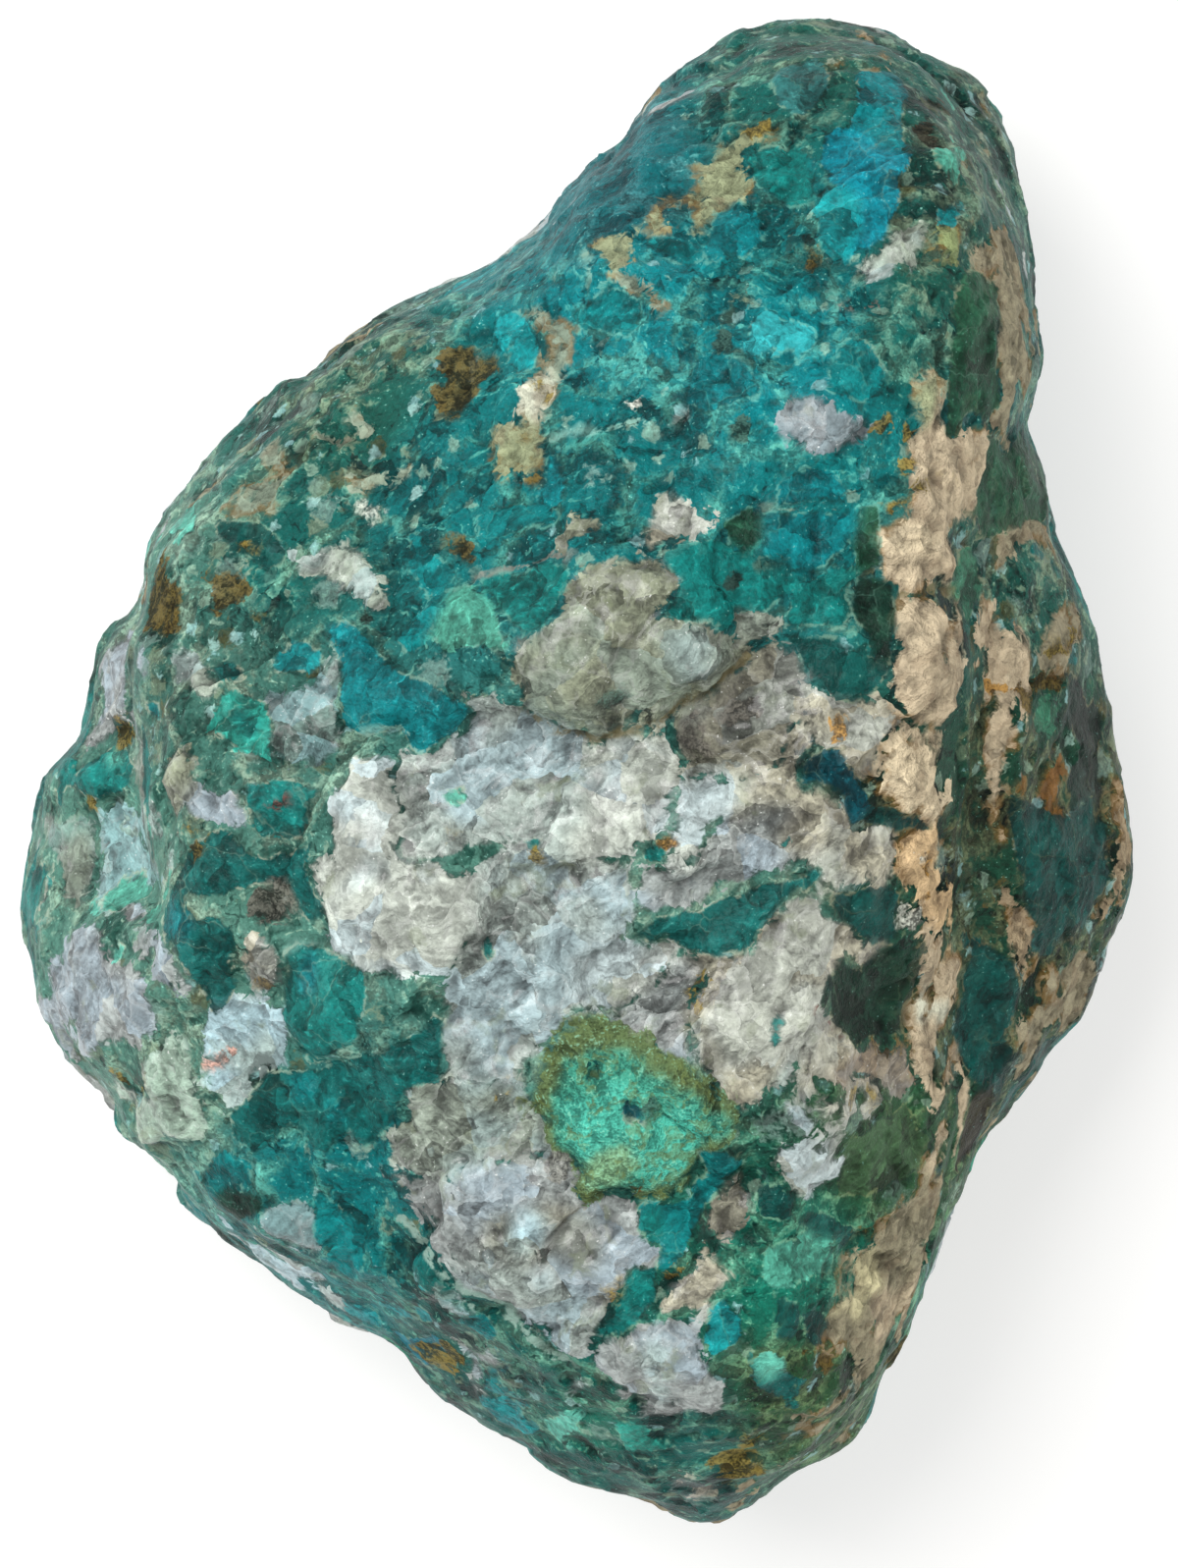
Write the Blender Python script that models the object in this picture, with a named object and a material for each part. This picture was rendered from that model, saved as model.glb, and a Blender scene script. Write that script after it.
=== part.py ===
"""A chrysocolla and quartz specimen: one hand-sized stone, lying on its broad underside.

Metres, +Z up. The origin is under the middle of the stone's box, on the surface that it rests on.
+Y runs along the stone towards its narrow top lobe, and +X to the side with the steep, veined face.
The stone is one solid. A fine sphere is pushed out along its own rays to the stone's faces: an
outline seen from above, broken faces above and below it, and the lumps and ledges on them.
"""

import math

import bmesh
import bpy
import numpy as np
from mathutils import Matrix, Vector, noise

# Driving dimensions, in metres.
LENGTH = 0.077
WIDTH = 0.057
HEIGHT = 0.0365
REST_CUT = 0.0007

NODE_NAME = "chrysocolla_stone"
MM = 0.001

# The rest of the file draws in millimetres, on plan coordinates that share the part's origin.
HEART = (1.5, -3.0, 15.0)
SPHERE_SUBDIVISIONS = 7
STONE_TRIANGLES = 8200

# The widest line of the stone seen from above, clockwise from the top lobe.
OUTLINE = [
    (8.1, 37.8), (10.1, 38.3), (12.1, 38.5), (14.4, 38.4), (15.9, 37.9), (17.4, 37.2), (18.3, 36.4),
    (19.9, 35.8), (21.1, 34.8), (22.1, 33.3), (22.6, 31.5), (22.8, 29.2), (22.9, 27.2), (23.4, 24.2),
    (23.9, 20.7), (23.6, 19.2), (22.8, 17.3), (23.5, 16.2), (24.1, 14.0), (24.3, 12.2), (25.1, 10.1),
    (26.5, 6.7), (27.0, 4.2), (27.5, 1.5), (28.4, -3.0), (28.5, -4.3), (28.3, -6.3), (27.8, -7.8),
    (27.0, -8.9), (26.5, -10.9), (25.9, -12.8), (24.7, -13.9), (22.7, -16.5), (20.6, -19.2), (20.0, -21.2),
    (18.9, -23.5), (17.7, -26.3), (17.2, -28.0), (15.6, -30.9), (15.0, -32.7), (14.3, -34.1), (12.9, -34.9),
    (11.3, -35.7), (9.6, -37.3), (8.0, -38.2), (6.4, -38.5), (4.9, -38.1), (3.4, -37.1), (2.0, -36.6),
    (0.1, -36.3), (-1.4, -35.4), (-2.7, -34.2), (-4.6, -33.3), (-6.4, -32.4), (-7.4, -31.3), (-8.5, -29.7),
    (-9.6, -28.8), (-11.6, -27.9), (-13.9, -26.7), (-15.9, -25.1), (-17.5, -24.0), (-19.4, -23.2),
    (-20.2, -22.3), (-20.6, -20.8), (-21.9, -19.8), (-23.0, -18.7), (-23.4, -17.2), (-24.6, -15.8),
    (-26.3, -14.2), (-27.1, -12.8), (-27.7, -10.8), (-28.3, -9.0), (-28.5, -7.0), (-28.3, -5.0),
    (-27.9, -2.5), (-27.4, -0.8), (-25.9, 0.5), (-24.9, 1.7), (-24.6, 4.0), (-24.3, 5.6), (-23.3, 6.9),
    (-22.5, 7.7), (-22.2, 9.5), (-21.8, 11.5), (-20.9, 12.8), (-19.8, 14.0), (-18.6, 15.7), (-16.9, 17.1),
    (-13.4, 20.2), (-11.4, 21.8), (-9.4, 23.2), (-7.1, 24.3), (-5.4, 24.9), (-3.9, 25.8), (-1.9, 27.5),
    (-0.4, 29.2), (0.9, 30.9), (2.6, 31.8), (3.8, 33.6), (5.1, 35.5), (6.9, 36.9),
]

# Height of the widest line: its mean, and how it rises and falls round the stone.
GIRDLE = 12.0
GIRDLE_WAVES = ((1, 1.6, 2.4), (3, 0.9, 0.4))
# The side draws in above and below that line, by these millimetres per squared millimetre of height,
# and it loses the outline's small corners over this height and within this many degrees.
DRAW_IN_ABOVE = 0.012
DRAW_IN_BELOW = 0.030
CORNER_REACH = 4.0
CORNER_WIDTH = 14.0

# Broken faces on top: a point on the face, then its slope along X and along Y.
UPPER_FACES = {
    "quartz_field": ((0.0, -5.0, 35.6), (-0.03, 0.03)),
    "blue_shoulder": ((0.0, 8.0, 35.4), (0.10, -0.26)),
    "top_lobe": ((12.0, 28.0, 27.5), (0.10, -0.72)),
    "upper_left": ((-14.0, 15.0, 25.5), (0.52, -0.52)),
    "left_brow": ((-12.0, -5.0, 33.4), (0.36, 0.02)),
    "left_side": ((-20.5, -4.0, 28.0), (1.45, -0.05)),
    "lower_left_brow": ((-20.0, -17.0, 25.0), (0.62, 0.50)),
    "lower_middle": ((0.0, -18.0, 33.6), (0.08, 0.24)),
    "lower_left_side": ((-8.0, -24.5, 30.5), (1.15, 1.85)),
    "tip": ((7.0, -35.0, 24.5), (0.0, 1.15)),
    "tan_corner": ((13.5, -26.0, 28.5), (-1.25, 0.30)),
    "right_side": ((18.3, -5.0, 31.2), (-1.55, 0.0)),
    "right_brow": ((15.5, 5.0, 33.6), (-0.45, -0.04)),
}
# Faces below, worn towards the resting side: the same form.
LOWER_FACES = {
    "rest": ((0.0, 0.0, 0.0), (0.0, 0.0)),
    "under_left": ((-10.0, 0.0, 0.0), (-0.48, 0.06)),
    "under_right": ((11.0, 0.0, 0.0), (0.52, 0.05)),
    "under_top": ((6.0, 14.0, 0.0), (0.10, 0.42)),
    "under_tip": ((4.0, -17.0, 0.0), (0.05, -0.45)),
    "under_lower_left": ((-10.0, -14.0, 0.0), (-0.42, -0.40)),
    "under_upper_left": ((-8.0, 10.0, 0.0), (-0.42, 0.36)),
}
FACE_BLEND = 0.9
SHOULDER_BLEND = 3.0

# Lumps and hollows on the upper side: middle, half-sizes, turn in degrees, height.
LUMPS = {
    "tan_nodule_upper": ((16.9, 11.6), (2.2, 2.4), 0, 1.1),
    "tan_nodule_middle": ((17.4, 5.4), (2.0, 3.2), 0, 1.3),
    "tan_nodule_lower": ((17.0, -0.9), (1.8, 2.6), 0, 1.0),
    "yellow_crest": ((17.2, -5.5), (1.4, 3.4), 0, 0.7),
    "lower_crest": ((18.2, -17.5), (1.1, 4.5), 0, 0.9),
    "grey_green_lump": ((1.6, 6.0), (5.2, 4.4), -8, 1.5),
    "grey_lens": ((12.3, 17.6), (2.6, 1.6), -20, 0.5),
    "white_lump_left": ((-9.0, -6.0), (4.6, 6.4), 8, 0.8),
    "white_lump_right": ((5.8, -3.0), (6.0, 3.4), 14, 0.7),
    "quartz_above_crust": ((9.5, -11.5), (4.2, 3.2), 20, 0.6),
    "green_crust": ((3.8, -17.0), (6.0, 4.4), -22, 0.8),
    "small_crystals": ((12.4, -17.4), (2.6, 1.6), 10, 0.9),
    "lower_quartz_left": ((-3.4, -22.6), (5.4, 3.6), -24, 0.9),
    "lower_quartz_right": ((4.2, -30.4), (3.6, 3.0), -20, 1.1),
    "turquoise_lobe": ((14.0, 29.0), (3.4, 6.0), 12, 0.7),
    "green_right_lobe": ((19.2, 30.5), (2.6, 4.0), 0, 0.8),
    "dark_clast_swell": ((20.2, 21.5), (1.8, 4.6), 4, 0.8),
    "tan_side_bulge": ((22.6, 22.5), (1.4, 5.0), 2, 0.8),
    "left_lens": ((-24.0, -0.5), (2.6, 1.8), 20, 1.2),
    "pale_left_knob": ((-21.4, -16.0), (2.4, 3.0), 30, 1.0),
    "side_vein": ((21.8, 2.5), (0.8, 6.5), 2, 0.9),
    "side_valley": ((20.2, -6.0), (1.3, 14.0), -3, -1.5),
    "recess_under_lump": ((8.2, 2.4), (3.4, 1.9), 22, -0.8),
    "hollow_mid_left": ((-8.0, 1.2), (5.0, 1.6), -6, -0.5),
    "hollow_left": ((-14.6, -6.8), (2.0, 1.2), 0, -0.7),
    "groove_lower": ((-1.0, -28.0), (6.0, 0.8), -34, -0.8),
    "hollow_dark_clast": ((15.0, -11.0), (2.0, 3.0), 10, -0.6),
}

# Ledges: a crest line on the plan. The ground on its left, walking along it, stays; the ground on its
# right drops by the given height and climbs back to its own level over the given width.
LEDGES = {
    "crack_under_lump": (((-3.4, 2.4), (0.4, 1.6), (3.6, 2.2), (6.8, 4.0), (9.0, 5.8), (11.0, 6.2)), 0.9, 4.0),
    "teal_patch_edge": (((-12.0, 2.6), (-9.0, 2.6), (-7.4, 1.2), (-5.2, 3.4), (-3.4, 5.0)), 0.8, 4.0),
    "left_shelf": (((-22.0, 7.4), (-21.8, 3.0), (-21.2, -1.0), (-20.6, -6.0)), 4.0, 9.0),
}

# The broken surface: a slow swell and flat chip scars, each with its depth and how far across it is.
SWELL = (0.45, 9.0)
CHIPS = ((0.55, 7.0), (0.28, 3.2))
# The chips are at full depth on the quartz, an oval on top, and shallow on the smooth chrysocolla.
QUARTZ_OVAL = ((-1.0, -10.0), (17.0, 19.0))
SMOOTH_SHARE = 0.45


def outline_edges(angle):
    """Distance from the heart to the outline at each angle, exact and with its small corners worn off."""
    points = np.array(OUTLINE) - HEART[:2]
    corner_angle = np.arctan2(points[:, 1], points[:, 0])
    corner_edge = np.hypot(points[:, 0], points[:, 1])
    order = np.argsort(corner_angle)

    def edge_at(turned):
        return np.interp(turned, corner_angle[order], corner_edge[order], period=2 * math.pi)

    turns = np.radians(np.linspace(-CORNER_WIDTH, CORNER_WIDTH, 9))
    average = sum(edge_at(angle + turn) for turn in turns) / len(turns)
    return edge_at(angle), np.minimum(edge_at(angle), average)


def soft_least(values, blend):
    """The least of several heights, with the creases between them rounded over the blend."""
    least = values[0]
    for other in values[1:]:
        near = np.clip(0.5 + 0.5 * (other - least) / blend, 0.0, 1.0)
        least = other + (least - other) * near - blend * near * (1.0 - near)
    return least


def face_heights(faces, x, y):
    return [
        point[2] + slope[0] * (x - point[0]) + slope[1] * (y - point[1])
        for point, slope in faces.values()
    ]


def lump_relief(x, y):
    """How far the lumps and hollows lift or lower the upper side."""
    relief = np.zeros_like(x)
    for (middle_x, middle_y), (half_x, half_y), turn, height in LUMPS.values():
        along = math.cos(math.radians(turn)), math.sin(math.radians(turn))
        u = ((x - middle_x) * along[0] + (y - middle_y) * along[1]) / half_x
        v = ((y - middle_y) * along[0] - (x - middle_x) * along[1]) / half_y
        relief += height * np.exp(-np.minimum((u * u + v * v) ** 1.5, 30.0))
    return relief


def ledge_relief(x, y):
    """The drop behind each ledge, which is sharp at its crest line and eases away from it."""
    relief = np.zeros_like(x)
    for line, drop, width in LEDGES.values():
        distance, side, within = nearest_on_line(line, x, y)
        sharp = np.clip(side * distance / 0.35, 0.0, 1.0)
        relief -= drop * sharp * np.exp(-((distance / width) ** 2) * 2.0) * within
    return relief


def nearest_on_line(line, x, y):
    """Distance to a broken line, +1 on its right or -1 on its left, and a share that fades past its ends."""
    distance = np.full_like(x, 1e9)
    side = np.ones_like(x)
    within = np.ones_like(x)
    last = len(line) - 2
    for i, (start, end) in enumerate(zip(line, line[1:])):
        dx, dy = end[0] - start[0], end[1] - start[1]
        length = math.hypot(dx, dy)
        raw = ((x - start[0]) * dx + (y - start[1]) * dy) / length
        along = np.clip(raw, 0.0, length)
        here = np.hypot(x - start[0] - along * dx / length, y - start[1] - along * dy / length)
        right = np.sign((x - start[0]) * dy - (y - start[1]) * dx)
        over = np.zeros_like(x)
        if i == 0:
            over = np.maximum(over, -raw)
        if i == last:
            over = np.maximum(over, raw - length)
        closer = here < distance
        distance = np.where(closer, here, distance)
        side = np.where(closer, right, side)
        within = np.where(closer, np.clip(1.0 - over / 2.0, 0.0, 1.0), within)
    return distance, side, within


def upper_height(x, y):
    return soft_least(face_heights(UPPER_FACES, x, y), FACE_BLEND) + lump_relief(x, y) + ledge_relief(x, y)


def lower_height(x, y):
    return -soft_least([-h for h in face_heights(LOWER_FACES, x, y)], FACE_BLEND)


def girdle_height(angle):
    return GIRDLE + sum(size * np.sin(count * angle + start) for count, size, start in GIRDLE_WAVES)


def outside(points, angle, exact_edge, worn_edge):
    """Below zero inside the stone, zero on its surface and above zero outside, in millimetres."""
    x, y, z = points.T
    rise = z - girdle_height(angle)
    draw_in = np.where(rise > 0, DRAW_IN_ABOVE, DRAW_IN_BELOW) * rise * rise
    edge = worn_edge + (exact_edge - worn_edge) * np.exp(-((rise / CORNER_REACH) ** 2))
    wall = np.hypot(x - HEART[0], y - HEART[1]) - edge + draw_in
    above = z - upper_height(x, y)
    below = lower_height(x, y) - z
    return -soft_least([-wall, -above, -below], SHOULDER_BLEND)


def stone_radii(rays):
    """Distance from the heart to the surface along each ray, found by halving."""
    angle = np.arctan2(rays[:, 1], rays[:, 0])
    edges = outline_edges(angle)
    near, far = np.full(len(rays), 1.0), np.full(len(rays), 60.0)
    for _ in range(26):
        middle = (near + far) / 2
        inside = outside(np.array(HEART) + rays * middle[:, None], angle, *edges) < 0
        near = np.where(inside, middle, near)
        far = np.where(inside, far, middle)
    return near


def chip(place, depth, size):
    """Height of a small flat chip scar: each cell of the stone is a plane with its own tilt."""
    spot = place / size
    spot = spot + 0.22 * noise.noise_vector(spot * 1.7)
    middle = noise.voronoi(spot)[1][0]
    tilt = noise.cell_vector(middle * 91.0) * 2.0 - Vector((1.0, 1.0, 1.0))
    return depth * max(-1.0, min(1.0, (spot - middle).dot(tilt) * 1.6))


def roughness(place):
    """1 on the quartz field and round the sides, less on the smooth chrysocolla and the worn underside."""
    (middle_x, middle_y), (half_x, half_y) = QUARTZ_OVAL
    out = math.hypot((place.x - middle_x) / half_x, (place.y - middle_y) / half_y)
    on_top = min(1.0, max(0.0, (place.z - GIRDLE) / 8.0))
    smooth = on_top * min(1.0, max(0.0, (out - 0.8) / 0.3))
    worn = min(1.0, 0.15 + max(0.0, place.z - 1.0) / 5.0)
    return worn * (1.0 - (1.0 - SMOOTH_SHARE) * smooth)


def surface_grain(place):
    """Height of the broken surface over the smooth form, at a place in millimetres."""
    swell = SWELL[0] * noise.fractal(place / SWELL[1], 1.0, 2.0, 3)
    return swell + roughness(place) * sum(chip(place, depth, size) for depth, size in CHIPS)


def push_to_surface(bm):
    """Moves the unit sphere's points out to the stone, and adds its grain, held back on the widest line."""
    rays = np.array([v.co.normalized()[:] for v in bm.verts])
    places = np.array(HEART) + rays * stone_radii(rays)[:, None]
    girdle = girdle_height(np.arctan2(rays[:, 1], rays[:, 0]))
    for vert, ray, place, level in zip(bm.verts, rays, places, girdle):
        place = Vector(place)
        free = min(1.0, abs(place.z - level) / 4.0)
        vert.co = (place + Vector(ray) * surface_grain(place) * (0.2 + 0.8 * free)) * MM
    bmesh.ops.smooth_vert(bm, verts=bm.verts, factor=0.5, use_axis_x=True, use_axis_y=True, use_axis_z=True)


def decimated(bm):
    """The same surface with fewer triangles, most of them where it bends."""
    mesh = bpy.data.meshes.new("fine_stone")
    bm.to_mesh(mesh)
    fine = bpy.data.objects.new("fine_stone", mesh)
    bpy.context.scene.collection.objects.link(fine)
    thin = fine.modifiers.new("fewer_triangles", "DECIMATE")
    thin.ratio = STONE_TRIANGLES / len(mesh.polygons)
    graph = bpy.context.evaluated_depsgraph_get()
    coarse = bmesh.new()
    coarse.from_mesh(fine.evaluated_get(graph).to_mesh())
    bpy.data.objects.remove(fine)
    bpy.data.meshes.remove(mesh)
    return coarse


def fit_to_size(bm):
    """Brings the stone to its driving dimensions, with the middle of its box on the Z axis."""
    low = Vector(min(v.co[i] for v in bm.verts) for i in range(3))
    high = Vector(max(v.co[i] for v in bm.verts) for i in range(3))
    size = high - low
    middle = (low + high) / 2
    bmesh.ops.translate(bm, verts=bm.verts, vec=(-middle.x, -middle.y, -low.z - REST_CUT))
    scale = Vector((WIDTH / size.x, LENGTH / size.y, HEIGHT / (size.z - REST_CUT)))
    bmesh.ops.scale(bm, verts=bm.verts, vec=scale)


def cut_resting_face(stone):
    """Takes off what reaches below the surface that the stone lies on, which leaves one flat face."""
    bm = bmesh.new()
    bmesh.ops.create_cube(bm, size=1.0)
    bmesh.ops.scale(bm, verts=bm.verts, vec=(2 * WIDTH, 2 * LENGTH, HEIGHT))
    bmesh.ops.translate(bm, verts=bm.verts, vec=(0, 0, -HEIGHT / 2))
    mesh = bpy.data.meshes.new("resting_surface")
    bm.to_mesh(mesh)
    bm.free()
    cutter = bpy.data.objects.new("resting_surface", mesh)
    cutter.hide_render = True
    cutter.display_type = "WIRE"
    bpy.context.scene.collection.objects.link(cutter)
    cut = stone.modifiers.new("resting_face", "BOOLEAN")
    cut.operation = "DIFFERENCE"
    cut.object = cutter


def stone_material():
    material = bpy.data.materials.new("chrysocolla_and_quartz")
    material.use_nodes = True
    surface = material.node_tree.nodes["Principled BSDF"]
    surface.inputs["Base Color"].default_value = (0.07, 0.22, 0.21, 1.0)
    surface.inputs["Roughness"].default_value = 0.45
    return material


def make_stone():
    bm = bmesh.new()
    bmesh.ops.create_icosphere(bm, subdivisions=SPHERE_SUBDIVISIONS, radius=1.0, matrix=Matrix())
    push_to_surface(bm)
    coarse = decimated(bm)
    bm.free()
    fit_to_size(coarse)
    mesh = bpy.data.meshes.new(NODE_NAME)
    coarse.to_mesh(mesh)
    coarse.free()
    mesh.materials.append(stone_material())
    stone = bpy.data.objects.new(NODE_NAME, mesh)
    bpy.context.scene.collection.objects.link(stone)
    return stone


def main():
    for old in list(bpy.data.objects):
        bpy.data.objects.remove(old)
    cut_resting_face(make_stone())


main()
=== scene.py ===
"""A chrysocolla and quartz specimen, finished: one broken stone that lies on its worn underside."""

import math

import bmesh
import bpy
import numpy as np
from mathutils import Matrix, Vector, noise


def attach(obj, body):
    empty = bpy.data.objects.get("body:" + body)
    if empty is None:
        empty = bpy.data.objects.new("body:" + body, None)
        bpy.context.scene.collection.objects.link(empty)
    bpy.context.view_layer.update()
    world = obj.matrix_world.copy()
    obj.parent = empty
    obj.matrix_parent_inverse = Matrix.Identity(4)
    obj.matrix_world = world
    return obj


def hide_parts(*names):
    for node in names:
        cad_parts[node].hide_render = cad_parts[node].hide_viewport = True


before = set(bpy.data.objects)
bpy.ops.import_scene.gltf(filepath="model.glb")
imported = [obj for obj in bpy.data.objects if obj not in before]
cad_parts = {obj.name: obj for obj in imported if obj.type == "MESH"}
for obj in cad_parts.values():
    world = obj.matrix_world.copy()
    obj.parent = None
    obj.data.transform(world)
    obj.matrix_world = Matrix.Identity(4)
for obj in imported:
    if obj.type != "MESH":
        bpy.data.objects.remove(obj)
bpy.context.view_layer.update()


# ---- The stone's body ----
# One lump of copper-vein rock, broken off by a hammer and worn a little since. The frame's solid gives
# its faces, ridges and ledges; an even fine skin is grown on it, and its chipped faces are eased.
STONE_NODE = "chrysocolla_stone"
MM = 0.001
SAME_PLACE = 0.001 * MM
SKIN_STEP = 0.38 * MM
SKIN_EASING = 5

rough_skin = bmesh.new()
rough_skin.from_mesh(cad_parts[STONE_NODE].data)
bmesh.ops.remove_doubles(rough_skin, verts=rough_skin.verts, dist=SAME_PLACE)
rough_mesh = bpy.data.meshes.new("stone_skin")
rough_skin.to_mesh(rough_mesh)
rough_skin.free()
stone = bpy.data.objects.new("stone_skin", rough_mesh)
bpy.context.scene.collection.objects.link(stone)

grown = stone.modifiers.new("even_skin", "REMESH")
grown.mode = "VOXEL"
grown.voxel_size = SKIN_STEP
even_mesh = bpy.data.meshes.new_from_object(
    stone.evaluated_get(bpy.context.evaluated_depsgraph_get())
)
stone.modifiers.remove(grown)
stone.data = even_mesh

skin = bmesh.new()
skin.from_mesh(even_mesh)
for _ in range(SKIN_EASING):
    bmesh.ops.smooth_vert(
        skin, verts=skin.verts, factor=0.5, use_axis_x=True, use_axis_y=True, use_axis_z=True
    )
skin.normal_update()
skin.verts.ensure_lookup_table()

# Every place on the skin, in millimetres, and the way that it faces.
places = np.array([v.co[:] for v in skin.verts]) / MM
facing = np.array([v.normal[:] for v in skin.verts])
skin_edges = np.array([[v.index for v in edge.verts] for edge in skin.edges])
neighbours = np.bincount(skin_edges.ravel(), minlength=len(places))


# ---- How the patches lie on the stone ----
# Each mineral shows in patches whose outlines are drawn on the plan of the stone, as seen from the eye
# above it. Round the sides and underneath, where the plan would smear, they follow veins inside it.
EYE = (0.6, -0.7, 500.0)
GIRDLE = 14.0
FAR = -9.0
REACH = 2.5
CLIFF_FADE = 1.2
LIFT_EDGE = 0.9

shrink = (EYE[2] - GIRDLE) / (EYE[2] - places[:, 2])
plan = np.array(EYE[:2]) + (places[:, :2] - EYE[:2]) * shrink[:, None]

# How far a face looks up, from 1 where it is level to 0 where it is upright, sorts the faces.
up = facing[:, 2]
on_top = np.clip((up - 0.12) / 0.15, 0.0, 1.0)
steep = np.clip((0.72 - up) / 0.5, 0.0, 1.0)
cliff = np.clip((0.36 - up) / 0.2, 0.0, 1.0)


def strayed(place, reach, size):
    """A random step of up to about reach millimetres, which changes over size millimetres."""
    return reach * noise.noise_vector(Vector(place) / size)


# One seed for all that strays, so that each run gives the same stone.
STRAY_SEED = 3
noise.seed_set(STRAY_SEED)

# Borders stray a little from their outlines, and far on the steep faces.
stray = np.array([
    strayed(p, 0.5, 1.7) + strayed(p, 0.3, 0.8) + strayed(p, 3.0 * float(slope), 2.6)
    for p, slope in zip(places, steep)
])[:, :2]


def paint(code):
    """A colour given as #rrggbb, as the linear numbers that a surface takes."""
    parts = [int(code[i:i + 2], 16) / 255 for i in (1, 3, 5)]
    return [p / 12.92 if p <= 0.04045 else ((p + 0.055) / 1.055) ** 2.4 for p in parts] + [1.0]


def oval(x, y, half_x, half_y, turn=0):
    """An outline of ten points round an oval, turned by some degrees."""
    along, across = math.cos(math.radians(turn)), math.sin(math.radians(turn))
    points = []
    for i in range(10):
        u = half_x * math.cos(i * math.tau / 10)
        v = half_y * math.sin(i * math.tau / 10)
        points.append((x + u * along - v * across, y + u * across + v * along))
    return points


def edge_distance(line, spots):
    """Distance in millimetres from each spot to a broken line."""
    least = np.full(len(spots), 99.0)
    for start, end in zip(line, line[1:]):
        run = np.subtract(end, start)
        away = spots - start
        share = np.clip(away @ run / (run @ run), 0.0, 1.0)
        least = np.minimum(least, np.linalg.norm(away - share[:, None] * run, axis=1))
    return least


def depth_inside(outline, spots):
    """How far each spot is inside a closed outline, and below zero how far it is outside."""
    ring = list(outline) + [outline[0]]
    inside = np.zeros(len(spots), bool)
    for (x0, y0), (x1, y1) in zip(ring, ring[1:]):
        crosses = (y0 > spots[:, 1]) != (y1 > spots[:, 1])
        with np.errstate(divide="ignore", invalid="ignore"):
            at = x0 + (spots[:, 1] - y0) * (x1 - x0) / (y1 - y0)
        inside ^= crosses & (spots[:, 0] < at)
    away = edge_distance(ring, spots)
    return np.where(inside, away, -away)


def eased(values, rounds):
    """Values on the skin, each moved halfway to its neighbours' mean, so many times."""
    values = np.array(values, float)
    for _ in range(rounds):
        total = np.zeros_like(values)
        np.add.at(total, skin_edges[:, 0], values[skin_edges[:, 1]])
        np.add.at(total, skin_edges[:, 1], values[skin_edges[:, 0]])
        mean = total / (neighbours if values.ndim == 1 else neighbours[:, None])
        values = (values + mean) / 2.0
    return values


def vein(seed, size, share):
    """A depth like that of a patch, for veins and lumps inside the stone: share is how rare they are."""
    shift = Vector((seed * 13.7, seed * 5.1, seed * 9.3))
    field = np.array([noise.fractal(Vector(p) / size + shift, 1.0, 2.0, 3) for p in places])
    return (field - share) * size


class Patches:
    """One mineral's patches: how deep each place on the skin is in them, their tint and their lift."""

    def __init__(self, tints, usual, inner_depth, raggedness=1.0):
        self.tints = {name: paint(code) for name, code in tints.items()}
        self.depth = np.full(len(places), FAR)
        self.tint = np.tile(self.tints[usual], (len(places), 1))
        self.lift = np.zeros(len(places))
        self.inner_depth = inner_depth
        self.spots = plan + stray * (raggedness + (1.0 - raggedness) * steep)[:, None]

    def add(self, tint, outline, lift=0.0):
        """A patch goes over the ones before it: the tint changes where it is nearest or it covers them."""
        low = np.min(outline, axis=0) - REACH
        high = np.max(outline, axis=0) + REACH
        near = np.flatnonzero(((plan > low) & (plan < high)).all(axis=1) & (on_top > 0))
        depth = depth_inside(outline, self.spots[near]) - CLIFF_FADE * cliff[near]
        taken = (depth > 0) | (depth > self.depth[near])
        self.tint[near[taken]] = self.tints[tint]
        self.depth[near] = np.maximum(self.depth[near], depth)
        self.lift[near] += lift * np.sqrt(np.clip(depth / LIFT_EDGE, 0.0, 1.0))

    def settle(self, blur=2):
        """Joins the patches on top to the veins that come out round the sides, and softens the tints."""
        self.depth = self.depth * on_top + self.inner_depth * (1.0 - on_top)
        self.lift *= on_top
        self.tint = eased(self.tint, blur)


# ---- The groundmass ----
# Breccia of small chrysocolla splinters in a paler cement. It runs softly from one part of the stone to
# the next, each in three tones: the usual one, the dark of its gaps and the pale of its cement.
GROUND_TONES = {
    "turquoise": ("#047d84", "#024a4e", "#7cc8b6"),
    "teal": ("#066c6e", "#023a3b", "#6fb6a4"),
    "dusky": ("#10646a", "#063c42", "#6f9fa4"),
    "sea_green": ("#0d5852", "#042b29", "#8cb39a"),
    "dull_green": ("#1c5449", "#092924", "#a3a98c"),
    "sage": ("#5d8173", "#22493f", "#c6cdb4"),
    "grey_green": ("#43695e", "#173c34", "#bcc1a9"),
    "jade": ("#126a58", "#06382f", "#8cc9a6"),
    "moss": ("#305132", "#142518", "#8c9a6a"),
    "dark": ("#1b4231", "#0a1912", "#877f5c"),
}
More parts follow.
